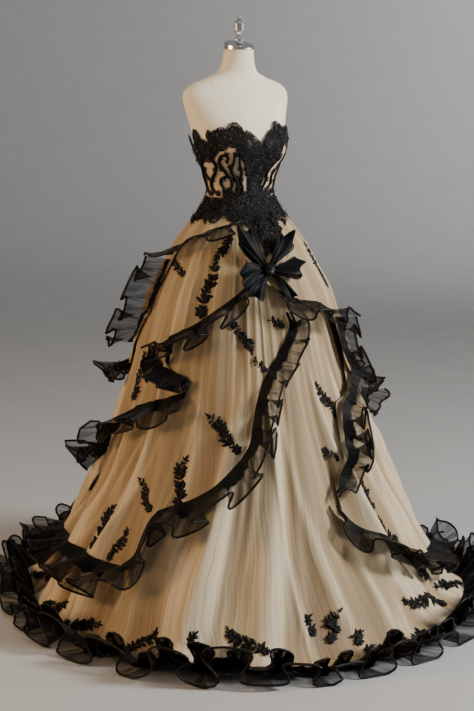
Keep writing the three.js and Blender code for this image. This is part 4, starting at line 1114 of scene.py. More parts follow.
@dataclass
class Studio:
    """A plain pale floor that turns up into a plain wall all round, with soft light."""

    flat: float = 7.5
    bend: float = 3.5
    wall: float = 4.0
    sides: int = 96
    grey: float = 0.42

    def build(self, finishes: Finishes) -> None:
        """Makes the floor, the lights and the even light of the room."""
        curve = np.linspace(0, math.pi / 2, 12)
        reach = np.concatenate([[0.02, self.flat], self.flat + self.bend * np.sin(curve[1:]),
                                [self.flat + self.bend]])
        rise = np.concatenate([[0, 0], self.bend * (1 - np.cos(curve[1:])),
                               [self.bend + self.wall]])
        angle = np.linspace(0, 2 * math.pi, self.sides + 1)
        points = np.stack([reach[::-1, None] * np.cos(angle), reach[::-1, None] * np.sin(angle),
                           rise[::-1, None] + 0 * angle], axis=-1)
        points[:, -1] = points[:, 0]
        floor = Cloth("Studio_Floor", points, [finishes.floor], closed_round=True,
                      ends_filled=False).build()
        chest = (0.0, 0.0, 1.0)
        Lamp("Warm_Left", (-3.8, 0.7, 1.8), chest, 1.3, 92, (1.0, 0.63, 0.31)).build()
        Lamp("Plain_Right", (3.3, -3.7, 3.0), chest, 1.4, 395, (1.0, 0.985, 0.96)).build()
        Lamp("Wall_Right", (6.5, 4.3, 4.2), (8.4, 8.0, 2.4), 1.5, 120).build()
        Lamp("Top_Fill", (-0.8, -1.6, 4.6), chest, 2.4, 24, (1.0, 0.96, 0.9)).build()
        world = bpy.data.worlds.new("Room")
        world.use_nodes = True
        ground = world.node_tree.nodes["Background"]
        ground.inputs["Color"].default_value = (self.grey, self.grey * 0.99, self.grey * 0.96, 1.0)
        ground.inputs["Strength"].default_value = 0.37
        bpy.context.scene.world = world


def columns_between(start: float, end: float, spacing: float) -> Array:
    """Evenly spaced turns from one turn to another, at most a spacing apart."""
    return np.linspace(start, end, max(2, round(abs(end - start) / spacing) + 1))


@dataclass
class SkirtSheet:
    """One draped sheet of the skirt, between a top and a lower edge."""

    name: str
    layer: Layer
    edges: Sequence[EdgePoint]
    replaces: Sequence[str]
    rests_on: Sequence[str]
    rows: int = 60
    seed: int = 0

    def build(self, skirt: Skirt, material: bpy.types.Material) -> bpy.types.Object:
        """Drapes the sheet.

        Args:
            skirt: The outline that it lies on.
            material: What it is made of.

        Returns:
            The finished sheet.
        """
        table = spline_rows(self.edges, 12)
        turns = columns_between(self.edges[0].turn, self.edges[-1].turn, SHEET_SPACING)
        top = np.minimum(np.interp(turns, table[:, 0], table[:, 1]), OVERSKIRT_TOP)
        bottom = np.interp(turns, table[:, 0], table[:, 2])
        share = np.linspace(0, 1, self.rows)[:, None]
        heights = bottom + (top - bottom) * share
        turn_grid = np.broadcast_to(turns, heights.shape)
        slack = self.sag(turn_grid, heights)
        points = skirt.place(turn_grid, heights, self.layer, slack)
        # Painted fold shade: painted shade in the troughs, painted highlight on the ridges and
        # swags.
        shade = self.tone(skirt, turn_grid, heights, slack)
        cloth = Cloth(self.name, points, [material], shade)
        return Declared("champagne_tulle", self.replaces, Held.GATHERED, self.rests_on).apply(
            cloth.build(), cloth.flat())

    def sag(self, turn: Array, height: Array) -> Array:
        """The sheet's own shallow swags, which fall diagonally from where it is gathered."""
        drop = np.maximum(0, OVERSKIRT_TOP - height)
        phase = np.radians(turn) * 9 + drop * 7.5 + self.seed
        swag = 0.5 + 0.5 * np.sin(phase + 0.7 * np.sin(phase * 0.37 + self.seed))
        return 0.0022 * swag ** 2 * np.minimum(1, drop / 0.3)

    def tone(self, skirt: Skirt, turn: Array, height: Array, slack: Array) -> Array:
        """Painted fold shade from 0 to 1: painted shade in troughs, painted highlight on ridges,
        gathers and swags.
        """
        ridge = (skirt.relief(turn, height) + RIDGE_LEVEL) / FOLD_SHADE_RANGE
        angle = np.radians(turn)
        broad = 0.5 + 0.5 * np.cos(SKIRT_FOLDS * angle)
        return np.clip(0.55 * ridge + 0.3 * broad + 60 * slack, 0, 1)


@dataclass
class BaseSkirt:
    """The underskirt, which goes all the way round from the waist to the floor."""

    columns: int = 600
    rows: int = 110
    gores: Sequence[str] = ("gore_back_left", "gore_side_back_left", "gore_side_left",
                            "gore_front_left", "gore_front_right", "gore_side_right",
                            "gore_side_back_right", "gore_back_right")

    def build(self, skirt: Skirt, material: bpy.types.Material) -> bpy.types.Object:
        """Hangs the underskirt, closed all round, from the waist."""
        turns = np.linspace(-180, 180, self.columns + 1)
        share = np.linspace(0, 1, self.rows)
        heights = (SKIRT_HEM + (WAIST - SKIRT_HEM) * share ** 1.35)[:, None]
        turn_grid, height_grid = np.broadcast_arrays(turns, heights)
        turn_grid = turn_grid + skirt.sweep(turn_grid, height_grid)
        points = skirt.place(turn_grid, height_grid, Layer.BASE)
        points[:, -1] = points[:, 0]
        # Painted fold shade: painted shade in the troughs of the ridges and gathers, painted
        # highlight on their crests.
        ridge = (skirt.relief(turn_grid, height_grid) + RIDGE_LEVEL) / FOLD_SHADE_RANGE
        broad = 0.5 + 0.5 * np.cos(SKIRT_FOLDS * np.radians(turn_grid))
        shade = np.clip(0.6 * ridge + 0.35 * broad, 0, 1)
        cloth = Cloth("Underskirt", points, [material], shade, closed_round=True)
        return Declared("champagne_tulle", self.gores, Held.GATHERED, ["form_torso"]).apply(
            cloth.build(), cloth.flat())


class Strand(NamedTuple):
    """The frames along a seam: its points and its directions."""

    points: Array
    along: Array
    out: Array


@dataclass
class Binding:
    """A rolled edge that is sewn over the free edge of a ruffle."""

    radius: float = 0.0036
    sides: int = 6

    def build(self, name: str, edge_line: Array, material: bpy.types.Material) -> bpy.types.Object:
        """Rolls the edge round a line of points.

        Args:
            name: The piece's name.
            edge_line: The points of the free edge.
            material: What it is made of.

        Returns:
            The rolled edge, a closed body.
        """
        return Cloth(name, tube_points(edge_line, self.radius, self.sides), [material],
                     closed_up=True, ends_filled=True).build()


def tube_points(line: Array, radius: float | Array, sides: int) -> Array:
    """The grid of points of a tube round a line.

    Args:
        line: The points of the line.
        radius: The tube's radius, one number or one for each point.
        sides: How many sides the tube has.

    Returns:
        The points, first round the tube and then along it.
    """
    way = unit(np.gradient(line, axis=0))
    side = unit(np.cross(way, UP + np.array([0.013, 0.007, 0.0])))
    top = np.cross(side, way)
    reach = np.broadcast_to(np.asarray(radius, dtype=float), (len(line),))[:, None]
    rings = []
    for turn in np.linspace(0, 2 * math.pi, sides + 1)[:-1]:
        rings.append(line + reach * (math.cos(turn) * side + math.sin(turn) * top))
    rings.append(rings[0])
    return np.stack(rings)


@dataclass
class Ruffle:
    """A strip of organza gathered along a seam, with a rolled free edge."""

    name: str
    seam: Sequence[SeamPoint]
    layer: Layer
    replaces: Sequence[str]
    rests_on: Sequence[str]
    seed: int
    clearance: float = 0.0045
    wave: float = 0.124
    crest: float = 0.66
    loop: float = 0.22
    dense: bool = False
    tapered: tuple[bool, bool] = (False, False)
    heading: float = 1.0
    fullness: float = 1.14
    rows: int = 12
    steps: int = 18
    lowest: float = 0.012

    def waves(self, length: float, places: Array) -> tuple[Array, Array, Array]:
        """The waves at places along the seam.

        Args:
            length: The length of the seam.
            places: How far along it they are wanted.

        Returns:
            The phase, the size and the lean of the wave at each place.
        """
        chance = np.random.default_rng(self.seed)
        count = max(2, round(length / self.wave))
        steps = chance.uniform(0.6, 1.5, count)
        ends = np.concatenate([[0.0], np.cumsum(steps)]) * length / steps.sum()
        sizes, leans = chance.uniform(0.5, 1.45, count + 1), chance.uniform(-1, 1, count + 1)
        phase = np.interp(places, ends, np.arange(len(ends))) * 2 * math.pi
        return phase, np.interp(places, ends, sizes), np.interp(places, ends, leans)

    @staticmethod
    def pleats(phase: Array, lean: Array) -> Array:
        """The small pleats along the seam."""
        return np.sin(5 * phase + 1.3 * np.sin(phase)) + 0.6 * np.sin(8 * phase + lean * 2)

    def strand(self, skirt: Skirt) -> tuple[Strand, Array, float]:
        """The seam, measured at even steps.

        Args:
            skirt: The outline that the seam lies on.

        Returns:
            The seam's frames, the rows of its table at those steps, and its length.
        """
        table = spline_rows(self.seam, 40)
        line = skirt.place(table[:, 0], table[:, 1], self.layer, self.clearance)
        measured = run_along(line)
        length = float(measured[-1])
        steps = max(8, round(length / self.wave * self.steps))
        places = np.linspace(0, length, steps + 1)
        rows = np.stack([np.interp(places, measured, table[:, part]) for part in range(5)], axis=1)
        points = skirt.place(rows[:, 0], rows[:, 1], self.layer, self.clearance)
        return Strand(points, unit(np.gradient(points, axis=0)),
                      skirt.shell.normal(rows[:, 0], rows[:, 1])), rows, length

    def surface(self, skirt: Skirt) -> tuple[Array, Array]:
        """The ruffle's points from its free edge to its root, and its share from root to edge."""
        strand, rows, length = self.strand(skirt)
        places = np.linspace(0, length, len(rows))
        phase, size, lean = self.waves(length, places)
        hang, stand = np.radians(rows[:, 3])[:, None], np.radians(rows[:, 4])[:, None]
        sideways = unit(np.cross(UP, strand.out))
        downhill = unit(np.cross(sideways, strand.out))
        lying = downhill * np.cos(hang) + sideways * np.sin(hang)
        way = lying * np.cos(stand) + strand.out * np.sin(stand)
        face = strand.out * np.cos(stand) - lying * np.sin(stand)
        swell = 0.5 + 0.5 * np.cos(phase)
        peak = swell ** 1.05
        pleats = self.pleats(phase, lean)
        width = rows[:, 2] * self.fullness
        for tapered, away in zip(self.tapered, (places, length - places)):
            if tapered:
                width = width * (0.3 + 0.7 * smooth_step(away / 0.07))
        sheets, shares = [], []
        for share in np.linspace(1, 0, self.rows):
            reach = width * share * (1.02 - 0.06 * swell + 0.10 * lean * np.sin(phase))
            rise = width * self.crest * size * peak * share ** 1.15
            sweep = self.loop * self.wave * (size + 0.5 * lean) * np.sin(2 * phase) * share ** 1.4
            tilt = 0.12 * width * lean * np.sin(phase) * share ** 1.6
            gather = 0.0016 * pleats * math.sin(math.pi * min(1.0, share * 1.15)) * (1.15 - share)
            spots = (strand.points + way * reach[:, None] + face * (rise + gather)[:, None]
                     + strand.along * (sweep + tilt)[:, None])
            spots[:, 2] = np.maximum(spots[:, 2], self.lowest)
            sheets.append(spots)
            shares.append(np.full(len(rows), share))
        points, share_grid = np.stack(sheets), np.stack(shares)
        outward = np.cross(strand.along, -lying)
        if float((outward * strand.out).sum()) < 0:
            return points[:, ::-1], share_grid[:, ::-1]
        return points, share_grid

    def build(self, skirt: Skirt, finishes: Finishes) -> bpy.types.Object:
        """Gathers the ruffle and sews its rolled edge.

        Args:
            skirt: The outline that it lies on.
            finishes: The materials.

        Returns:
            The finished ruffle.
        """
        points, shares = self.surface(skirt)
        material = finishes.dense if self.dense else finishes.ruffle
        cloth = Cloth(self.name, points, [material], shares ** self.heading)
        rolled = Binding().build(self.name + "_Binding", points[0], finishes.binding)
        Declared("black_organza").apply(rolled)
        return Declared("black_organza", self.replaces, Held.GATHERED, self.rests_on,
                        [rolled]).apply(cloth.build(), cloth.flat())


@dataclass
class HemRuffle(Ruffle):
    """The widest ruffle, which is sewn round the lower edge of the skirt and lies on the floor."""

    width: float = 0.118
    rise: float = 0.052
    pull: float = 0.08
    drop: float = 0.009
    gap: float = 0.0004

    def surface(self, skirt: Skirt) -> tuple[Array, Array]:
        """The ruffle's points from its free edge to its root, and its share from root to edge."""
        turns = np.linspace(self.seam[0].turn, self.seam[-1].turn, 4000)
        line = skirt.place(turns, SKIRT_HEM, Layer.BASE)
        measured = run_along(line)
        length = float(measured[-1])
        places = np.linspace(0, length, round(length / self.wave * self.steps) + 1)
        turns = np.interp(places, measured, turns)
        roots = skirt.place(turns, SKIRT_HEM, Layer.BASE)
        phase, size, lean = self.waves(length, places)
        angle = np.radians(turns)
        out = np.stack([np.sin(angle), -np.cos(angle), np.zeros_like(angle)], axis=1)
        along = unit(np.gradient(roots, axis=0))
        swell = 0.5 + 0.5 * np.cos(phase)
        pleats = self.pleats(phase, lean)
        sheets, shares = [], []
        for share in np.linspace(1, 0, self.rows):
            reach = self.gap + self.width * share * (1 - self.pull * swell)
            reach = reach + 0.016 * lean * np.sin(phase + lean) * share
            rise = share ** 0.85 * (self.rise * size * swell - self.drop)
            sweep = self.loop * self.wave * size * np.sin(2 * phase) * share ** 1.2
            gather = 0.0022 * pleats * math.sin(math.pi * min(1.0, share * 1.1)) * (1.1 - share)
            spots = (roots + out * reach[:, None] + along * sweep[:, None]
                     + UP * (rise + gather)[:, None])
            spots[:, 2] = np.maximum(spots[:, 2], self.lowest)
            sheets.append(spots)
            shares.append(np.full(len(turns), share))
        return np.stack(sheets), np.stack(shares)


NECKLINE = ((0, 1.456), (12, 1.472), (24, 1.496), (36, 1.508), (48, 1.503), (60, 1.488),
            (72, 1.466),
            (84, 1.462), (96, 1.452), (120, 1.436), (180, 1.425))
FRONT_LACE_EDGE = ((-42, 1.44), (-27, 1.41), (-19, 1.36), (-14, 1.3012), (12, 1.3012),
                   (18, 1.326), (30, 1.392), (36, 1.424))
HIP_LACE_EDGE = ((0, 1.142), (7.5, 1.158), (15, 1.196), (22.5, 1.232), (30, 1.245), (37.5, 1.24),
                 (52.5, 1.252), (67.5, 1.24), (82.5, 1.252), (97.5, 1.24), (112.5, 1.252),
                 (127.5, 1.24), (150, 1.25), (180, 1.228))


def neckline(turn: Array) -> Array:
    """The height of the bodice's upper edge at turns, the same on both sides."""
    table = spline_rows(NECKLINE, 10)
    return np.interp(np.abs(turn), table[:, 0], table[:, 1])


@dataclass
class Scatter:
    """Many copies of small pieces, joined in one object."""

    name: str
    work: bmesh.types.BMesh = field(default_factory=bmesh.new)

    def put(self, template: bpy.types.Mesh, spot: Array, out: Array, way: Array,
            size: Sequence[float]) -> None:
        """Adds a copy of a small piece.

        Args:
            template: The small piece, which lies in XY and points to +Y.
            spot: Where its origin goes.
            out: The direction that its +Z takes.
            way: The direction that its +Y takes, made square to the one before.
            size: Its scale along its own X, Y and Z.
        """
        up = unit(out)
        ahead = unit(way - up * float(way @ up))
        side = np.cross(ahead, up)
        turn = np.eye(4)
        turn[:3, 0], turn[:3, 1], turn[:3, 2] = side * size[0], ahead * size[1], up * size[2]
        turn[:3, 3] = spot
        matrix = Matrix(turn.tolist())
        template.transform(matrix)
        self.work.from_mesh(template)
        template.transform(matrix.inverted())

    def finish(self, material: bpy.types.Material) -> bpy.types.Object:
        """Joins the copies in one object at the origin."""
        mesh = mesh_of(self.name, self.work)
        mesh.shade_smooth()
        mesh.materials.append(material)
        return linked(self.name, mesh)


class Templates:
    """The small pieces that are sewn on in many copies, each one unit long."""

    def __init__(self) -> None:
        """Makes the leaf, the petal and the bead."""
        self.leaf = self.blade("Leaf", 0.24, 0.12)
        self.petal = self.blade("Petal", 0.36, 0.18)
        self.bead = self.ball("Bead")

    @staticmethod
    def blade(name: str, half: float, ridge: float) -> bpy.types.Mesh:
        """A pointed blade from the origin to one unit along +Y.

        Args:
            name: The mesh's name.
            half: Half its width, as a share of its length.
            ridge: How far its middle line stands out, as a share of its length.

        Returns:
            The mesh, closed all round.
        """
        work = bmesh.new()
        bmesh.ops.create_grid(work, x_segments=2, y_segments=4, size=0.5)
        for vertex in work.verts:
            along = vertex.co.y + 0.5
            wide = half * math.sin(math.pi * (0.04 + 0.93 * along)) ** 0.75
            across = vertex.co.x * 2 * wide
            vertex.co = (across, along, ridge * (1 - abs(vertex.co.x) * 2) * wide / half * 0.6)
        bmesh.ops.solidify(work, geom=work.faces[:], thickness=0.07)
        bmesh.ops.recalc_face_normals(work, faces=work.faces)
        return mesh_of(name, work)

    @staticmethod
    def ball(name: str) -> bpy.types.Mesh:
        """A bead of radius one half round the origin."""
        work = bmesh.new()
        bmesh.ops.create_icosphere(work, subdivisions=1, radius=0.5)
        return mesh_of(name, work)


@dataclass
class Torso:
    """The cloth-covered body of the dress form, with its metal cap and finial."""

    form: Form
    finishes: Finishes

    def build(self) -> None:
        """Makes the cover and the seams on it, and gives the foot, pole, cap and finial their metal
        finishes.
        """
        turns = np.linspace(-180, 180, 181)
        heights = np.linspace(self.form.heights[0], self.form.heights[-1], 150)[:, None]
        turn_grid, height_grid = np.broadcast_arrays(turns, heights)
        points = self.form.spot(turn_grid, height_grid)
        points[:, -1] = points[:, 0]
        cover = Cloth("Form_Cover", points, [self.finishes.jersey], closed_round=True,
                      ends_filled=True)
        Declared("form_cover", ("form_torso",)).apply(cover.build())
        for side in (-1, 1):
            self.seam_line(f"Form_Seam_{'Left' if side < 0 else 'Right'}", side)
        for node in ("foot", "pole"):
            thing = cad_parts[node]
            thing.data.materials.clear()
            thing.data.materials.append(self.finishes.steel)
        for node in ("neck_cap", "finial"):
            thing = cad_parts[node]
            thing.data.materials.clear()
            thing.data.materials.append(self.finishes.chrome)

    def seam_line(self, name: str, side: int) -> None:
        """The fine seam that runs from the shoulder down over one cup."""
        path = spline_rows(((side * 74, 1.652), (side * 62, 1.615), (side * 45, 1.56),
                            (side * 33, 1.50), (side * 30, 1.45)), 12)
        line = self.form.place(path[:, 0], path[:, 1], 0.0001)
        tube = Cloth(name, tube_points(line, 0.0008, 6), [self.finishes.jersey],
                     closed_up=True, ends_filled=True)
        Declared("form_cover").apply(tube.build())


@dataclass
class BodicePanel:
    """One panel of the bodice, from one seam to the next."""

    name: str
    start: float
    end: float
    node: str

    def build(self, form: Form, finishes: Finishes) -> bpy.types.Object:
        """Fits the panel on the form and rolls its seams under."""
        gap = 0.12
        turns = columns_between(self.start + gap, self.end - gap, 1.5)
        share = np.linspace(0, 1, 44)[:, None]
        heights = WAIST + 0.0008 + (neckline(turns) - WAIST - 0.0008) * share
        turn_grid = np.broadcast_to(turns, heights.shape)
        near = np.minimum(turn_grid - self.start, self.end - turn_grid)
        lift = 0.0042 - 0.0022 * np.exp(-(near / 0.9) ** 2)
        points = form.place(turn_grid, heights, lift)
        cloth = Cloth(self.name, points, [finishes.satin])
        return Declared("bodice_satin", (self.node,), Held.STRETCHED, ["Form_Cover"]).apply(
            cloth.build(), cloth.flat())


@dataclass
class LaceBand:
    """A band of lace with scalloped edges, laid on the form or on the skirt."""

    name: str
    replaces: Sequence[str]
    start: float
    end: float
    top: Callable[[Array], Array]
    bottom: Callable[[Array], Array]
    place: Callable[[Array, Array], Array]
    material: bpy.types.Material
    rests_on: Sequence[str]
    rows: int = 26
    spacing: float = 1.0

    def build(self) -> bpy.types.Object:
        """Lays the band."""
        turns = columns_between(self.start, self.end, self.spacing)
        low, high = self.bottom(turns), self.top(turns)
        heights = low + (high - low) * np.linspace(0, 1, self.rows)[:, None]
        turn_grid = np.broadcast_to(turns, heights.shape)
        cloth = Cloth(self.name, self.place(turn_grid, heights), [self.material])
        return Declared("black_lace", self.replaces, Held.LAID, self.rests_on).apply(
            cloth.build(), cloth.flat())


def scallop(turn: Array, spacing: float, phase: float = 0.0) -> Array:
    """Round scallops along an edge, from 0 in a valley to 1 on a crest."""
    return np.sqrt(np.abs(np.sin(np.pi * (turn - phase) / spacing)) + 1e-6)


class VinePath(NamedTuple):
    """A corded stem on the bodice: its points as turns and heights, and its half width."""

    points: Sequence[tuple[float, float]]
    radius: float


VINES = (
    VinePath(((-88, 1.302), (-96, 1.33), (-99, 1.36), (-92, 1.39), (-86, 1.415), (-82, 1.43)),
             0.0046),
    VinePath(((-70, 1.302), (-82, 1.325), (-81, 1.35), (-71, 1.375), (-66, 1.40), (-71, 1.425),
              (-66, 1.445)), 0.0056),
    VinePath(((-60, 1.302), (-50, 1.325), (-47, 1.35), (-55, 1.38), (-60, 1.405), (-56, 1.426),
              (-49, 1.43), (-46, 1.42), (-50, 1.412)), 0.0052),
    VinePath(((-44, 1.302), (-36, 1.325), (-39, 1.355), (-45, 1.385), (-39, 1.415), (-38, 1.44)),
             0.0056),
    VinePath(((-32, 1.302), (-27, 1.325), (-31, 1.352), (-29, 1.38), (-32, 1.41), (-30, 1.44)),
             0.0048),
    VinePath(((-52, 1.302), (-60, 1.322), (-66, 1.345), (-60, 1.362), (-57, 1.35)), 0.0038),
    VinePath(((-78, 1.35), (-87, 1.362), (-90, 1.38), (-84, 1.392)), 0.0036),
    VinePath(((16, 1.303), (22, 1.325), (28, 1.35), (25, 1.375), (30, 1.40), (38, 1.43)), 0.0042),
    VinePath(((27, 1.302), (37, 1.318), (45, 1.34), (42, 1.365), (48, 1.39), (56, 1.43)), 0.0038),
    VinePath(((42, 1.301), (55, 1.312), (65, 1.33), (62, 1.355), (70, 1.385), (78, 1.42)), 0.0036),
    VinePath(((64, 1.302), (78, 1.312), (88, 1.33), (85, 1.355), (94, 1.385), (92, 1.41)), 0.0034),
    VinePath(((100, 1.302), (112, 1.33), (108, 1.36), (118, 1.39)), 0.0036),
    VinePath(((-112, 1.302), (-122, 1.33), (-118, 1.36), (-128, 1.39)), 0.0036),
    VinePath(((140, 1.302), (150, 1.33), (145, 1.36), (154, 1.385)), 0.0036),
    VinePath(((-146, 1.302), (-156, 1.33), (-150, 1.36), (-160, 1.385)), 0.0036),
)


@dataclass
class Bodice:
    """The strapless bodice with its lace, corded vines and beads."""

    form: Form
    skirt: Skirt
    finishes: Finishes
    templates: Templates
    lift: float = 0.0066

    def build(self) -> None:
        """Makes the panels first, then the lace, and last what is sewn on it."""
        for panel in PANELS:
            panel.build(self.form, self.finishes)
        for band in self.bands():
            band.build()
        self.vines()
        self.beads()
        self.spikes()
        self.hip_flowers()

    def bands(self) -> list[LaceBand]:
        """The lace of the neckline, of the centre front and of the hips."""
        front = spline_rows(FRONT_LACE_EDGE, 10)
        hips = spline_rows(HIP_LACE_EDGE, 10)

        def on_form(turn: Array, height: Array) -> Array:
            """Places the lace on the bodice."""
            return self.form.place(turn, height, self.lift)

        def under(turn: Array, height: Array) -> Array:
            """Places the front lace just under the lace of the neckline."""
            return self.form.place(turn, height, self.lift - 0.0012)

        def on_skirt(turn: Array, height: Array) -> Array:
            """Places the lace on the skirt."""
            return self.skirt.place(turn, height, Layer.HIP_LACE)

        def crest(turn: Array) -> Array:
            """The upper scalloped edge of the neckline lace."""
            return neckline(turn) + 0.0195 * scallop(turn, 24) - 0.003

        def hem(turn: Array) -> Array:
            """The lower scalloped edge of the neckline lace."""
            return neckline(turn) - 0.05 - 0.008 * scallop(turn, 12, 4)

        def hips_hem(turn: Array) -> Array:
            """The lower scalloped edge of the hip lace."""
            return np.interp(np.abs(turn), hips[:, 0], hips[:, 1]) - 0.018 * scallop(turn, 19, 3)

        bands = [
            LaceBand("Front_Lace", ("front_lace",), -36, 36,
                     lambda turn: neckline(turn) - 0.044,
                     lambda turn: np.minimum(np.interp(turn, front[:, 0], front[:, 1]),
                                             neckline(turn) - 0.048),
                     under, self.finishes.lace, ("Bodice_Front_Left",)),
        ]
        for side, start, end in (("Left", -180, -0.1), ("Right", 0.1, 180)):
            bands.append(LaceBand(f"Neckline_Lace_{side}", (f"neckline_lace_{side.lower()}",),
                                  start, end, crest, hem, on_form, self.finishes.lace,
                                  (f"Bodice_Front_{side}",)))
            bands.append(LaceBand(f"Hip_Lace_{side}", (f"hip_lace_{side.lower()}",), start, end,
                                  lambda turn: np.full_like(turn, HIP_LACE_TOP), hips_hem, on_skirt,
                                  self.finishes.open_lace, (f"Upper_Overskirt_{side}",),
                                  spacing=0.75))
        return bands

    def vines(self) -> None:
        """Lays the corded stems, each with small leaves along it."""
        leaves = Scatter("Vine_Leaves")
        for count, vine in enumerate(VINES, 1):
            path = spline_rows(vine.points, 10)
            line = self.form.place(path[:, 0], path[:, 1], self.lift + vine.radius * 0.2)
            taper = vine.radius * (0.45 + 0.55 * np.sin(np.pi * np.linspace(0.12, 0.97, len(line))))
            tube = Cloth(f"Vine_{count:02d}", tube_points(line, taper, 8), [self.finishes.thread],
                         closed_up=True, ends_filled=True)
            Declared("black_lace").apply(tube.build())
            out = self.form.normal(path[:, 0], path[:, 1])
            way = np.gradient(line, axis=0)
            for step in range(5, len(line) - 2, 13):
                side = np.cross(out[step], unit(way[step])) * (1 if step % 2 else -1)
                for spread, size in ((1.2, 0.016), (0.4, 0.02)):
                    leaves.put(self.templates.leaf, line[step] + out[step] * 0.0005, out[step],
                               unit(way[step]) + spread * side, (size * 0.8, size, size * 0.6))
        Declared("black_lace").apply(leaves.finish(self.finishes.thread))

    def beads(self) -> None:
        """Sews beads in rings over the lace, densest along the neckline and at the waist."""
        chance = random.Random(7)
        beads, petals = Scatter("Bodice_Beads"), Scatter("Bodice_Flowers")
        spots: list[tuple[float, float, float]] = []
        for step in range(-15, 15):
            turn = step * 12 + 6
            for drop in (0.004, 0.028):
                spots.append((turn + chance.uniform(-2, 2) + drop * 220,
                              float(neckline(np.array(turn))) - drop, 0.0105))
        for _ in range(46):
            height = chance.uniform(1.306, 1.43)
            reach = 10 + 22 * max(0.0, (height - 1.33) / 0.1)
            spots.append((chance.uniform(-reach, reach), height, chance.uniform(0.007, 0.010)))
        for turn in range(-84, 90, 12):
            spots.append((turn, 1.307 + chance.uniform(-0.003, 0.004), 0.0095))
        for turn, height, size in spots:
            centre = self.form.place(turn, height, self.lift + 0.0008)
            out = self.form.normal(np.array(turn), np.array(height))
            side = unit(np.cross(UP, out))
            spin = chance.uniform(0, math.pi)
            for petal in range(6):
                angle = spin + petal * math.pi / 3
                way = side * math.cos(angle) + UP * math.sin(angle)
                petals.put(self.templates.petal, centre, out, way, (size, size, size))
            for bead in range(8):
                angle = spin + bead * math.pi / 4
                way = side * math.cos(angle) + UP * math.sin(angle)
                beads.put(self.templates.bead, centre + way * size * 0.98 + out * 0.0012, out, side,
                          (0.0026,) * 3)
            beads.put(self.templates.bead, centre + out * 0.003, out, side, (0.0044,) * 3)
        for _ in range(900):
            turn = chance.uniform(-180, 180)
            height = float(neckline(np.array(turn))) - chance.uniform(-0.006, 0.05)
            self.bead(beads, turn, height, chance.uniform(0.0018, 0.0028))
        for _ in range(420):
            height = chance.uniform(1.303, 1.44)
            reach = 10 + 22 * max(0.0, (height - 1.33) / 0.1)
            self.bead(beads, chance.uniform(-reach, reach), height, chance.uniform(0.0018, 0.0028))
        Declared("black_lace").apply(petals.finish(self.finishes.thread))
        Declared("black_lace").apply(beads.finish(self.finishes.beads))

    def bead(self, beads: Scatter, turn: float, height: float, size: float) -> None:
        """Sews one bead on the bodice's lace."""
        spot = self.form.place(turn, height, self.lift + size * 0.4)
        beads.put(self.templates.bead, spot, self.form.normal(np.array(turn), np.array(height)),
                  UP, (size,) * 3)

    def hip_flowers(self) -> None:
        """Sews flowers, leaves and beads close together over the lace of the hips."""
        chance = random.Random(19)
        flowers, beads = Scatter("Hip_Flowers"), Scatter("Hip_Beads")
        hips = spline_rows(HIP_LACE_EDGE, 10)
        for step in range(250):
            turn = -180 + 360 * step / 250 + chance.uniform(-2, 2)
            if step % 2:
                turn = chance.uniform(-42, 30)
            low = float(np.interp(abs(turn), hips[:, 0], hips[:, 1])) - 0.030 * chance.random() ** 2
            height = low + (1.294 - low) * chance.random() ** 0.8
            spot = self.skirt.place(turn, height, Layer.HIP_LACE, 0.0022)
            out = self.skirt.shell.normal(np.array(turn), np.array(height))
            side = unit(np.cross(UP, out))
            spin, size = chance.uniform(0, math.pi), chance.uniform(0.009, 0.014)
            for petal in range(5):
                angle = spin + petal * 2 * math.pi / 5
                flowers.put(self.templates.petal, spot, out,
                            side * math.cos(angle) + UP * math.sin(angle), (size,) * 3)
            flowers.put(self.templates.leaf, spot, out, UP * -1 + side * chance.uniform(-1.2, 1.2),
                        (size * 1.4, size * 2.0, size * 1.2))
            for _ in range(4):
                shift = side * chance.uniform(-1, 1) + UP * chance.uniform(-1, 1)
                beads.put(self.templates.bead, spot + shift * size + out * 0.0016, out, side,
                          (0.003,) * 3)
        Declared("black_lace").apply(flowers.finish(self.finishes.thread))
        Declared("black_lace").apply(beads.finish(self.finishes.beads))

    def spikes(self) -> None:
        """Adds the leaf-like points of lace that stand out at the sides of the neckline."""
        spikes = Scatter("Neckline_Points")
        for turn, height, lean, size in ((-98, 1.452, -1.2, 0.050), (-84, 1.462, -0.6, 0.052),
                                         (-68, 1.474, -0.2, 0.036), (60, 1.486, 0.3, 0.036),
                                         (70, 1.472, 0.6, 0.044), (84, 1.462, 1.0, 0.040)):
            root = self.form.place(turn, height - 0.006, self.lift)
            out = self.form.normal(np.array(turn), np.array(height))
            side = unit(np.cross(UP, out))
            spikes.put(self.templates.petal, root, out, UP + 1.1 * out + 0.6 * lean * side,
                       (size * 0.8, size, size * 0.4))
        Declared("black_lace").apply(spikes.finish(self.finishes.thread))


PANELS = (
    BodicePanel("Bodice_Back_Left", -180, -96, "bodice_back_left"),
    BodicePanel("Bodice_Side_Left", -96, -48, "bodice_side_left"),
    BodicePanel("Bodice_Front_Left", -48, 0, "bodice_front_left"),
    BodicePanel("Bodice_Front_Right", 0, 48, "bodice_front_right"),
    BodicePanel("Bodice_Side_Right", 48, 96, "bodice_side_right"),
    BodicePanel("Bodice_Back_Right", 96, 180, "bodice_back_right"),
)


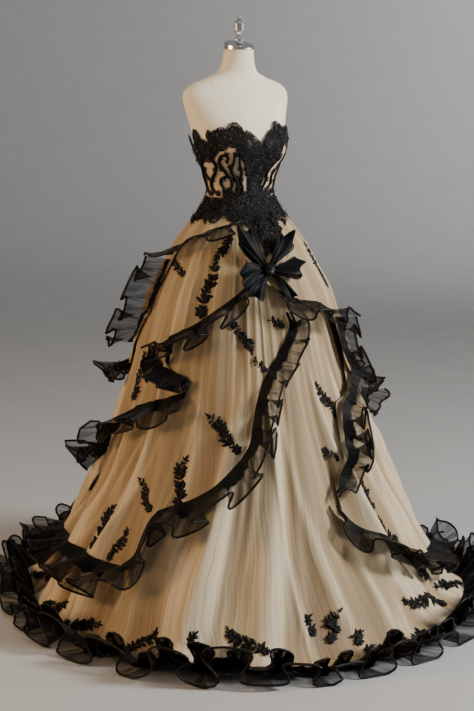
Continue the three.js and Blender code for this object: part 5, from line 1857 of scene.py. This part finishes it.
@dataclass
class KnotLoop:
    """One broad loop of organza ribbon that is pinched into the knot."""

    name: str
    node: str
    angle: float
    length: float
    half: float
    lean: float
    lift: float
    seed: int

    def build(self, skirt: Skirt, finishes: Finishes) -> bpy.types.Object:
        """Folds the ribbon out from the knot and back behind itself, and rolls its edges."""
        turn, height = np.array(KNOT_TURN), np.array(KNOT_HEIGHT)
        out = skirt.shell.normal(turn, height)
        root = skirt.place(turn, height, Layer.UPPER, self.lift)
        sideways = unit(np.cross(UP, out))
        uphill = np.cross(out, sideways)
        angle = math.radians(self.angle)
        away = uphill * math.cos(angle) + sideways * math.sin(angle)
        across = np.cross(away, out)
        run = np.linspace(0.0, 1.0, 34)[:, None]
        width = np.linspace(-1, 1, 21)[None, :]
        reach = np.sin(np.pi * run) ** 0.62
        far = 0.012 + (self.length - 0.014) * reach * (1 - 0.16 * width ** 2)
        far = far * (1 + 0.09 * reach * np.sin(4.5 * width + 2 * self.seed))
        ripple = 0.20 * np.sin(4.2 * run + self.seed) + 0.10 * np.sin(11 * run)
        wobble = 1 + ripple * np.sign(width)
        wide = self.half * (0.20 + 0.95 * reach ** 1.1 * (1 - 0.25 * reach ** 8)) * wobble
        crease = np.sin(width * 5.2 + 3 * run + self.seed) * 0.0026 * (1 - 0.4 * reach)
        crease = crease + 0.0016 * np.sin(width * 15 + 2 * self.seed) * (1 - reach)
        front = 0.0115 * np.cos(np.pi * run) * (0.45 + 0.55 * reach)
        curl = -0.010 * width ** 2 * reach * np.cos(np.pi * run)
        curl = curl + 0.012 * reach ** 2.5 * np.sin(4.2 * width + 1.7 * self.seed)
        rise = front + curl + crease + self.lean * reach
        bend = 0.16 * math.sin(2.3 * self.seed) * reach ** 2 * self.length
        points = (root + away * far[..., None] + across * (width * wide + bend)[..., None]
                  + out * rise[..., None])
        share = np.broadcast_to(0.15 + 0.3 * np.abs(width), points.shape[:2])
        cloth = Cloth(self.name, points, [finishes.loops], share)
        edges = []
        for label, line in (("A", points[:, 0]), ("B", points[:, -1])):
            rolled = Binding(0.0017).build(f"{self.name}_Edge_{label}", line, finishes.binding)
            edges.append(Declared("black_organza").apply(rolled))
        return Declared("black_organza", (self.node,), Held.FOLDED, ("Upper_Overskirt_Left",),
                        edges).apply(cloth.build(), cloth.flat())


KNOT_TURN = -11.0
KNOT_HEIGHT = 1.085
LOOPS = (
    KnotLoop("Knot_Loop_Upper_Left", "knot_loop_upper_left", -38, 0.152, 0.032, 0.016, 0.014, 1),
    KnotLoop("Knot_Loop_Left", "knot_loop_left", -94, 0.104, 0.036, 0.024, 0.012, 2),
    KnotLoop("Knot_Loop_Lower", "knot_loop_lower", -142, 0.112, 0.030, 0.010, 0.014, 3),
    KnotLoop("Knot_Loop_Upper_Right", "knot_loop_upper_right", 38, 0.142, 0.025, 0.012, 0.016, 4),
    KnotLoop("Knot_Loop_Right", "knot_loop_right", 96, 0.108, 0.031, 0.022, 0.013, 5),
    KnotLoop("Knot_Loop_Tail", "knot_loop_tail", 136, 0.122, 0.018, 0.008, 0.014, 6),
)


@dataclass
class KnotCentre:
    """The wrinkled knot at the middle of the loops."""

    radius: float = 0.016

    def build(self, skirt: Skirt, finishes: Finishes) -> bpy.types.Object:
        """Ties the knot."""
        turn, height = np.array(KNOT_TURN), np.array(KNOT_HEIGHT)
        out = skirt.shell.normal(turn, height)
        centre = skirt.place(turn, height, Layer.UPPER, 0.026)
        side = unit(np.cross(UP, out))
        work = bmesh.new()
        bmesh.ops.create_icosphere(work, subdivisions=4, radius=1.0)
        for vertex in work.verts:
            x, y, z = vertex.co
            fold = 1 + 0.10 * math.sin(7 * y + 2.2 * x) + 0.06 * math.sin(13 * y - 3 * x + 1)
            spot = centre + side * x * self.radius * 1.1 * fold
            spot = spot + np.cross(out, side) * y * self.radius * 1.25
            vertex.co = spot + out * z * self.radius * 0.62 * fold
        mesh = mesh_of("Knot_Centre", work)
        mesh.shade_smooth()
        mesh.materials.append(finishes.binding)
        return Declared("black_organza").apply(linked("Knot_Centre", mesh))


class Sprig(NamedTuple):
    """A sewn-on sprig: where it grows from and to, as turns and heights, and its leaves' size."""

    root_turn: float
    root_height: float
    tip_turn: float
    tip_height: float
    leaf: float = 0.025


SPRIGS = tuple(Sprig(*row) for row in (
    (-56.5, 0.962, -51.8, 1.108, 0.034), (-77.4, 1.073, -93.9, 1.105, 0.019),
    (-40.2, 1.185, -52.6, 1.128, 0.018), (-35.7, 0.945, -25.6, 0.868, 0.022),
    (-95.1, 0.688, -96.6, 0.823, 0.025), (-32, 0.579, -46.2, 0.673, 0.027),
    (-18.7, 0.807, -23.6, 0.839, 0.017), (-5.6, 0.929, -11.2, 0.951, 0.017),
    (-57.7, 0.421, -56.3, 0.546, 0.027), (-68.1, 0.394, -77.2, 0.469, 0.023),
    (-90.4, 0.245, -87.2, 0.369, 0.026), (-82.4, 0.235, -78.5, 0.32, 0.023),
    (24.5, 0.649, 15.6, 0.741, 0.026), (32.6, 0.36, 27.5, 0.441, 0.023),
    (36.8, 0.227, 33.2, 0.32, 0.023), (49, 1.009, 49.7, 1.144, 0.019),
    (15.3, 0.526, 12.7, 0.564, 0.016),
))
HEM_SPRIGS = tuple(Sprig(*row) for row in (
    (-135, 0.026, -112, 0.119), (-108.7, 0.026, -97.5, 0.065), (-90.9, 0.026, -79.6, 0.06),
    (-64.3, 0.028, -57.3, 0.078), (-50.5, 0.026, -52.9, 0.054), (-43.3, 0.026, -44.5, 0.083),
    (-25.1, 0.043, -35.1, 0.1), (-11.3, 0.089, -11, 0.127), (-6.5, 0.063, -1.5, 0.127),
    (1.2, 0.046, 3.5, 0.065), (2.1, 0.026, 5, 0.035), (13.7, 0.026, 16.1, 0.034),
    (26.3, 0.026, 20.4, 0.028), (45.1, 0.037, 26.2, 0.099), (60.6, 0.026, 49.3, 0.072),
    (47.5, 0.113, 42.2, 0.136), (84, 0.03, 76, 0.09), (104, 0.028, 98, 0.08),
    (126, 0.03, 120, 0.1), (147, 0.028, 142, 0.09), (166, 0.03, 161, 0.1),
    (-158, 0.028, -152, 0.09), (-176, 0.03, -171, 0.1),
))
BACK_SPRIGS = tuple(Sprig(*row) for row in (
    (82, 0.62, 78, 0.72), (112, 0.42, 107, 0.52), (150, 0.58, 146, 0.68), (176, 0.3, 171, 0.4),
    (-156, 0.58, -151, 0.68), (-132, 0.33, -128, 0.43), (132, 0.22, 128, 0.32),
    (98, 0.93, 94, 1.04), (150, 0.9, 146, 1.0), (-150, 0.92, -146, 1.02),
))


@dataclass
class Sprigs:
    """One group of sprigs of leaves, flowers and beads, sewn on the skirt."""

    name: str
    sprigs: Sequence[Sprig]
    seed: int

    def build(self, skirt: Skirt, finishes: Finishes, templates: Templates) -> None:
        """Sews the group on.

        Args:
            skirt: The outline that the layers lie on.
            finishes: The materials.
            templates: The leaf, the petal and the bead.
        """
        chance = random.Random(self.seed)
        leaves, beads = Scatter(self.name + "_Leaves"), Scatter(self.name + "_Beads")
        for sprig in self.sprigs:
            self.grow(sprig, skirt, templates, leaves, beads, chance)
        Declared("black_lace").apply(leaves.finish(finishes.thread))
        Declared("black_lace").apply(beads.finish(finishes.beads))

    def grow(self, sprig: Sprig, skirt: Skirt, templates: Templates, leaves: Scatter,
             beads: Scatter, chance: random.Random) -> None:
        """Sews one sprig on.

        Args:
            sprig: Where it grows.
            skirt: The outline that the layers lie on.
            templates: The leaf, the petal and the bead.
            leaves: Where its leaves go.
            beads: Where its beads go.
            chance: The source of small differences.
        """
        layer = outermost(0.5 * (sprig.root_turn + sprig.tip_turn),
                          0.5 * (sprig.root_height + sprig.tip_height))
        share = np.linspace(0, 1, 30)
        bend = chance.choice((-1, 1)) * 2.2
        turns = sprig.root_turn + (sprig.tip_turn - sprig.root_turn) * share \
            + bend * np.sin(2 * math.pi * share) * 0.5
        heights = sprig.root_height + (sprig.tip_height - sprig.root_height) * share
        line = skirt.place(turns, heights, layer, 0.0035)
        out = skirt.shell.normal(turns, heights)
        length = float(np.linalg.norm(np.diff(line, axis=0), axis=1).sum())
        way = unit(np.gradient(line, axis=0))
        count = max(6, round(length / (sprig.leaf * 0.33)))
        for step in range(count):
            place = step / (count - 1)
            index = min(29, round(place * 29))
            full = math.sin(math.pi * (0.16 + 0.72 * place))
            size = sprig.leaf * (0.30 + 0.80 * full) * chance.uniform(0.55, 1.25)
            side = np.cross(out[index], way[index]) * (1 if step % 2 else -1)
            open_way = way[index] * chance.uniform(0.5, 0.9) + side
            leaves.put(templates.leaf, line[index], out[index] + 0.12 * side, open_way,
                       (size * 0.72, size, size))
            leaves.put(templates.petal, line[index] + out[index] * 0.001, out[index],
                       way[index] * chance.uniform(0.2, 1.4) - side,
                       (size * 0.5, size * 0.85, size * 0.7))
            if step % 3 == 1:
                self.flower(templates, leaves, line[index] + side * size * 0.2, out[index],
                            way[index], size * 0.42)
            for _ in range(2):
                spot = line[index] + open_way * size * chance.uniform(0.1, 0.75)
                beads.put(templates.bead, spot + out[index] * 0.0022, out[index], way[index],
                          (0.0028,) * 3)
        tip = sprig.leaf * 0.8
        leaves.put(templates.leaf, line[-1], out[-1], way[-1], (tip * 0.7, tip, tip))
        self.flower(templates, leaves, line[2], out[2], way[2], sprig.leaf * 0.62)

    @staticmethod
    def flower(templates: Templates, leaves: Scatter, spot: Array, out: Array, way: Array,
               size: float) -> None:
        """Adds a flower of six petals."""
        side = np.cross(out, way)
        for petal in range(6):
            angle = petal * math.pi / 3
            leaves.put(templates.petal, spot + out * 0.002, out,
                       way * math.cos(angle) + side * math.sin(angle), (size,) * 3)


def outermost(turn: float, height: float) -> Layer:
    """The outermost layer of the skirt at a turn and a height."""
    found = Layer.BASE
    for sheet in SHEETS:
        table = np.asarray(sheet.edges)
        if table[0, 0] <= turn <= table[-1, 0]:
            top = np.interp(turn, table[:, 0], table[:, 1])
            bottom = np.interp(turn, table[:, 0], table[:, 2])
            if bottom <= height <= top:
                found = sheet.layer
    return found


@dataclass
class Gown:
    """The gown's skirt with its sheets and ruffles."""

    skirt: Skirt
    finishes: Finishes

    def sheets(self) -> None:
        """Drapes the underskirt and the overskirts."""
        BaseSkirt().build(self.skirt, self.finishes.skirt)
        for sheet in SHEETS:
            sheet.build(self.skirt, self.finishes.drape)

    def ruffles(self) -> None:
        """Sews on every ruffle."""
        for ruffle in RUFFLES:
            ruffle.build(self.skirt, self.finishes)


SHEETS = (
    SkirtSheet("Lower_Overskirt_Left", Layer.LOWER, LOWER_LEFT_EDGE,
               ("lower_overskirt_left_front", "lower_overskirt_left", "lower_overskirt_back_left"),
               ("Underskirt",), rows=80, seed=1),
    SkirtSheet("Lower_Overskirt_Right", Layer.LOWER, LOWER_RIGHT_EDGE,
               ("lower_overskirt_right_front", "lower_overskirt_right",
                "lower_overskirt_back_right"), ("Underskirt",), seed=2),
    SkirtSheet("Flounce_Left", Layer.FLOUNCE, FLOUNCE_LEFT_EDGE, ("flounce_left",),
               ("Lower_Overskirt_Left",), seed=3, rows=40),
    SkirtSheet("Flounce_Right", Layer.FLOUNCE, FLOUNCE_RIGHT_EDGE, ("flounce_right",),
               ("Lower_Overskirt_Right",), seed=4, rows=40),
    SkirtSheet("Middle_Overskirt", Layer.MIDDLE, MIDDLE_EDGE, ("middle_overskirt",),
               ("Underskirt",), seed=5),
    SkirtSheet("Upper_Overskirt_Left", Layer.UPPER, UPPER_LEFT_EDGE,
               ("upper_overskirt_left", "upper_overskirt_back_left"), ("Middle_Overskirt",),
               seed=6),
    SkirtSheet("Upper_Overskirt_Right", Layer.UPPER, UPPER_RIGHT_EDGE,
               ("upper_overskirt_right", "upper_overskirt_back_right"), ("Underskirt",), seed=7),
)
UPPER_LEFT = ("Upper_Overskirt_Left",)
UPPER_RIGHT = ("Upper_Overskirt_Right",)
RUFFLES = (
    Ruffle("Hip_Ruffle_Left", HIP_RUFFLE_LEFT, Layer.UPPER, ("hip_ruffle_left",), UPPER_LEFT, 11,
           heading=0.5),
    Ruffle("Side_Ruffle_Left", SIDE_RUFFLE_LEFT, Layer.UPPER, ("side_ruffle_left",), UPPER_LEFT, 12,
           heading=0.4),
    Ruffle("Back_Ruffle_Left", BACK_RUFFLE_LEFT, Layer.UPPER, ("back_ruffle_left",), UPPER_LEFT,
           13),
    Ruffle("Front_Ruffle_Upper", FRONT_RUFFLE_UPPER, Layer.MIDDLE, ("front_ruffle_upper",),
           ("Middle_Overskirt",), 14, tapered=(True, False)),
    Ruffle("Front_Ruffle_Fold", FRONT_RUFFLE_FOLD, Layer.FLOUNCE, ("front_ruffle_fold",),
           ("Flounce_Left",), 15, clearance=0.008, dense=True,
           tapered=(True, True)),
    Ruffle("Front_Ruffle_Lower", FRONT_RUFFLE_LOWER, Layer.FLOUNCE, ("front_ruffle_lower",),
           ("Flounce_Left",), 16),
    Ruffle("Back_Ruffle_Right", BACK_RUFFLE_RIGHT, Layer.FLOUNCE, ("back_ruffle_right",),
           ("Flounce_Right",), 17),
    Ruffle("Cascade_Left", CASCADE_LEFT, Layer.LOWER, ("cascade_left",),
           ("Lower_Overskirt_Left",), 18, tapered=(True, False)),
    Ruffle("Cascade_Left_Low", CASCADE_LEFT_LOW, Layer.LOWER, ("cascade_left_low",),
           ("Lower_Overskirt_Left",), 19),
    Ruffle("Hip_Ruffle_Right", HIP_RUFFLE_RIGHT, Layer.UPPER, ("hip_ruffle_right",), UPPER_RIGHT,
           20, heading=0.6),
    Ruffle("Side_Ruffle_Right", SIDE_RUFFLE_RIGHT, Layer.UPPER, ("side_ruffle_right",),
           UPPER_RIGHT, 21, tapered=(False, True), fullness=0.96,
           crest=0.42),
    Ruffle("Back_Ruffle_Upper", BACK_RUFFLE_UPPER, Layer.UPPER, ("back_ruffle_upper",),
           UPPER_RIGHT, 22),
    Ruffle("Cascade_Right", CASCADE_RIGHT, Layer.LOWER, ("cascade_right",),
           ("Lower_Overskirt_Right",), 23, tapered=(True, False)),
    Ruffle("Cascade_Right_Low", CASCADE_RIGHT_LOW, Layer.LOWER, ("cascade_right_low",),
           ("Lower_Overskirt_Right",), 24),
    HemRuffle("Hem_Ruffle", seam((-180, SKIRT_HEM, 0.118, 0, 0), (179.6, SKIRT_HEM, 0.118, 0, 0)),
              Layer.BASE, ("hem_ruffle_1", "hem_ruffle_2", "hem_ruffle_3"), ("Underskirt",), 25,
              wave=0.15, steps=24, lowest=0.0045, rise=0.088, loop=0.24),
    HemRuffle("Hem_Heading", seam((-180, SKIRT_HEM, 0.06, 0, 0), (179.6, SKIRT_HEM, 0.06, 0, 0)),
              Layer.BASE, (), ("Hem_Ruffle",), 26, wave=0.083, steps=16, lowest=0.006, rise=0.062,
              loop=0.2, width=0.062, drop=-0.012, gap=0.002, rows=8, dense=True),
)


def main() -> None:
    """Builds the gown, its form and the studio in order."""
    logging.basicConfig(level=logging.INFO, format="%(name)s %(message)s")
    View().build()
    finishes = Finishes()
    Studio().build(finishes)
    form, skirt, templates = Form.make(), Skirt.make(), Templates()
    Torso(form, finishes).build()
    gown = Gown(skirt, finishes)
    gown.sheets()
    gown.ruffles()
    Bodice(form, skirt, finishes, templates).build()
    for loop in LOOPS:
        loop.build(skirt, finishes)
    KnotCentre().build(skirt, finishes)
    for group, sprigs, seed in (("Front_Sprigs", SPRIGS, 31), ("Hem_Sprigs", HEM_SPRIGS, 32),
                                ("Back_Sprigs", BACK_SPRIGS, 33)):
        Sprigs(group, sprigs, seed).build(skirt, finishes, templates)
    LOG.info("the scene is complete")


if __name__ == "__main__":
    main()
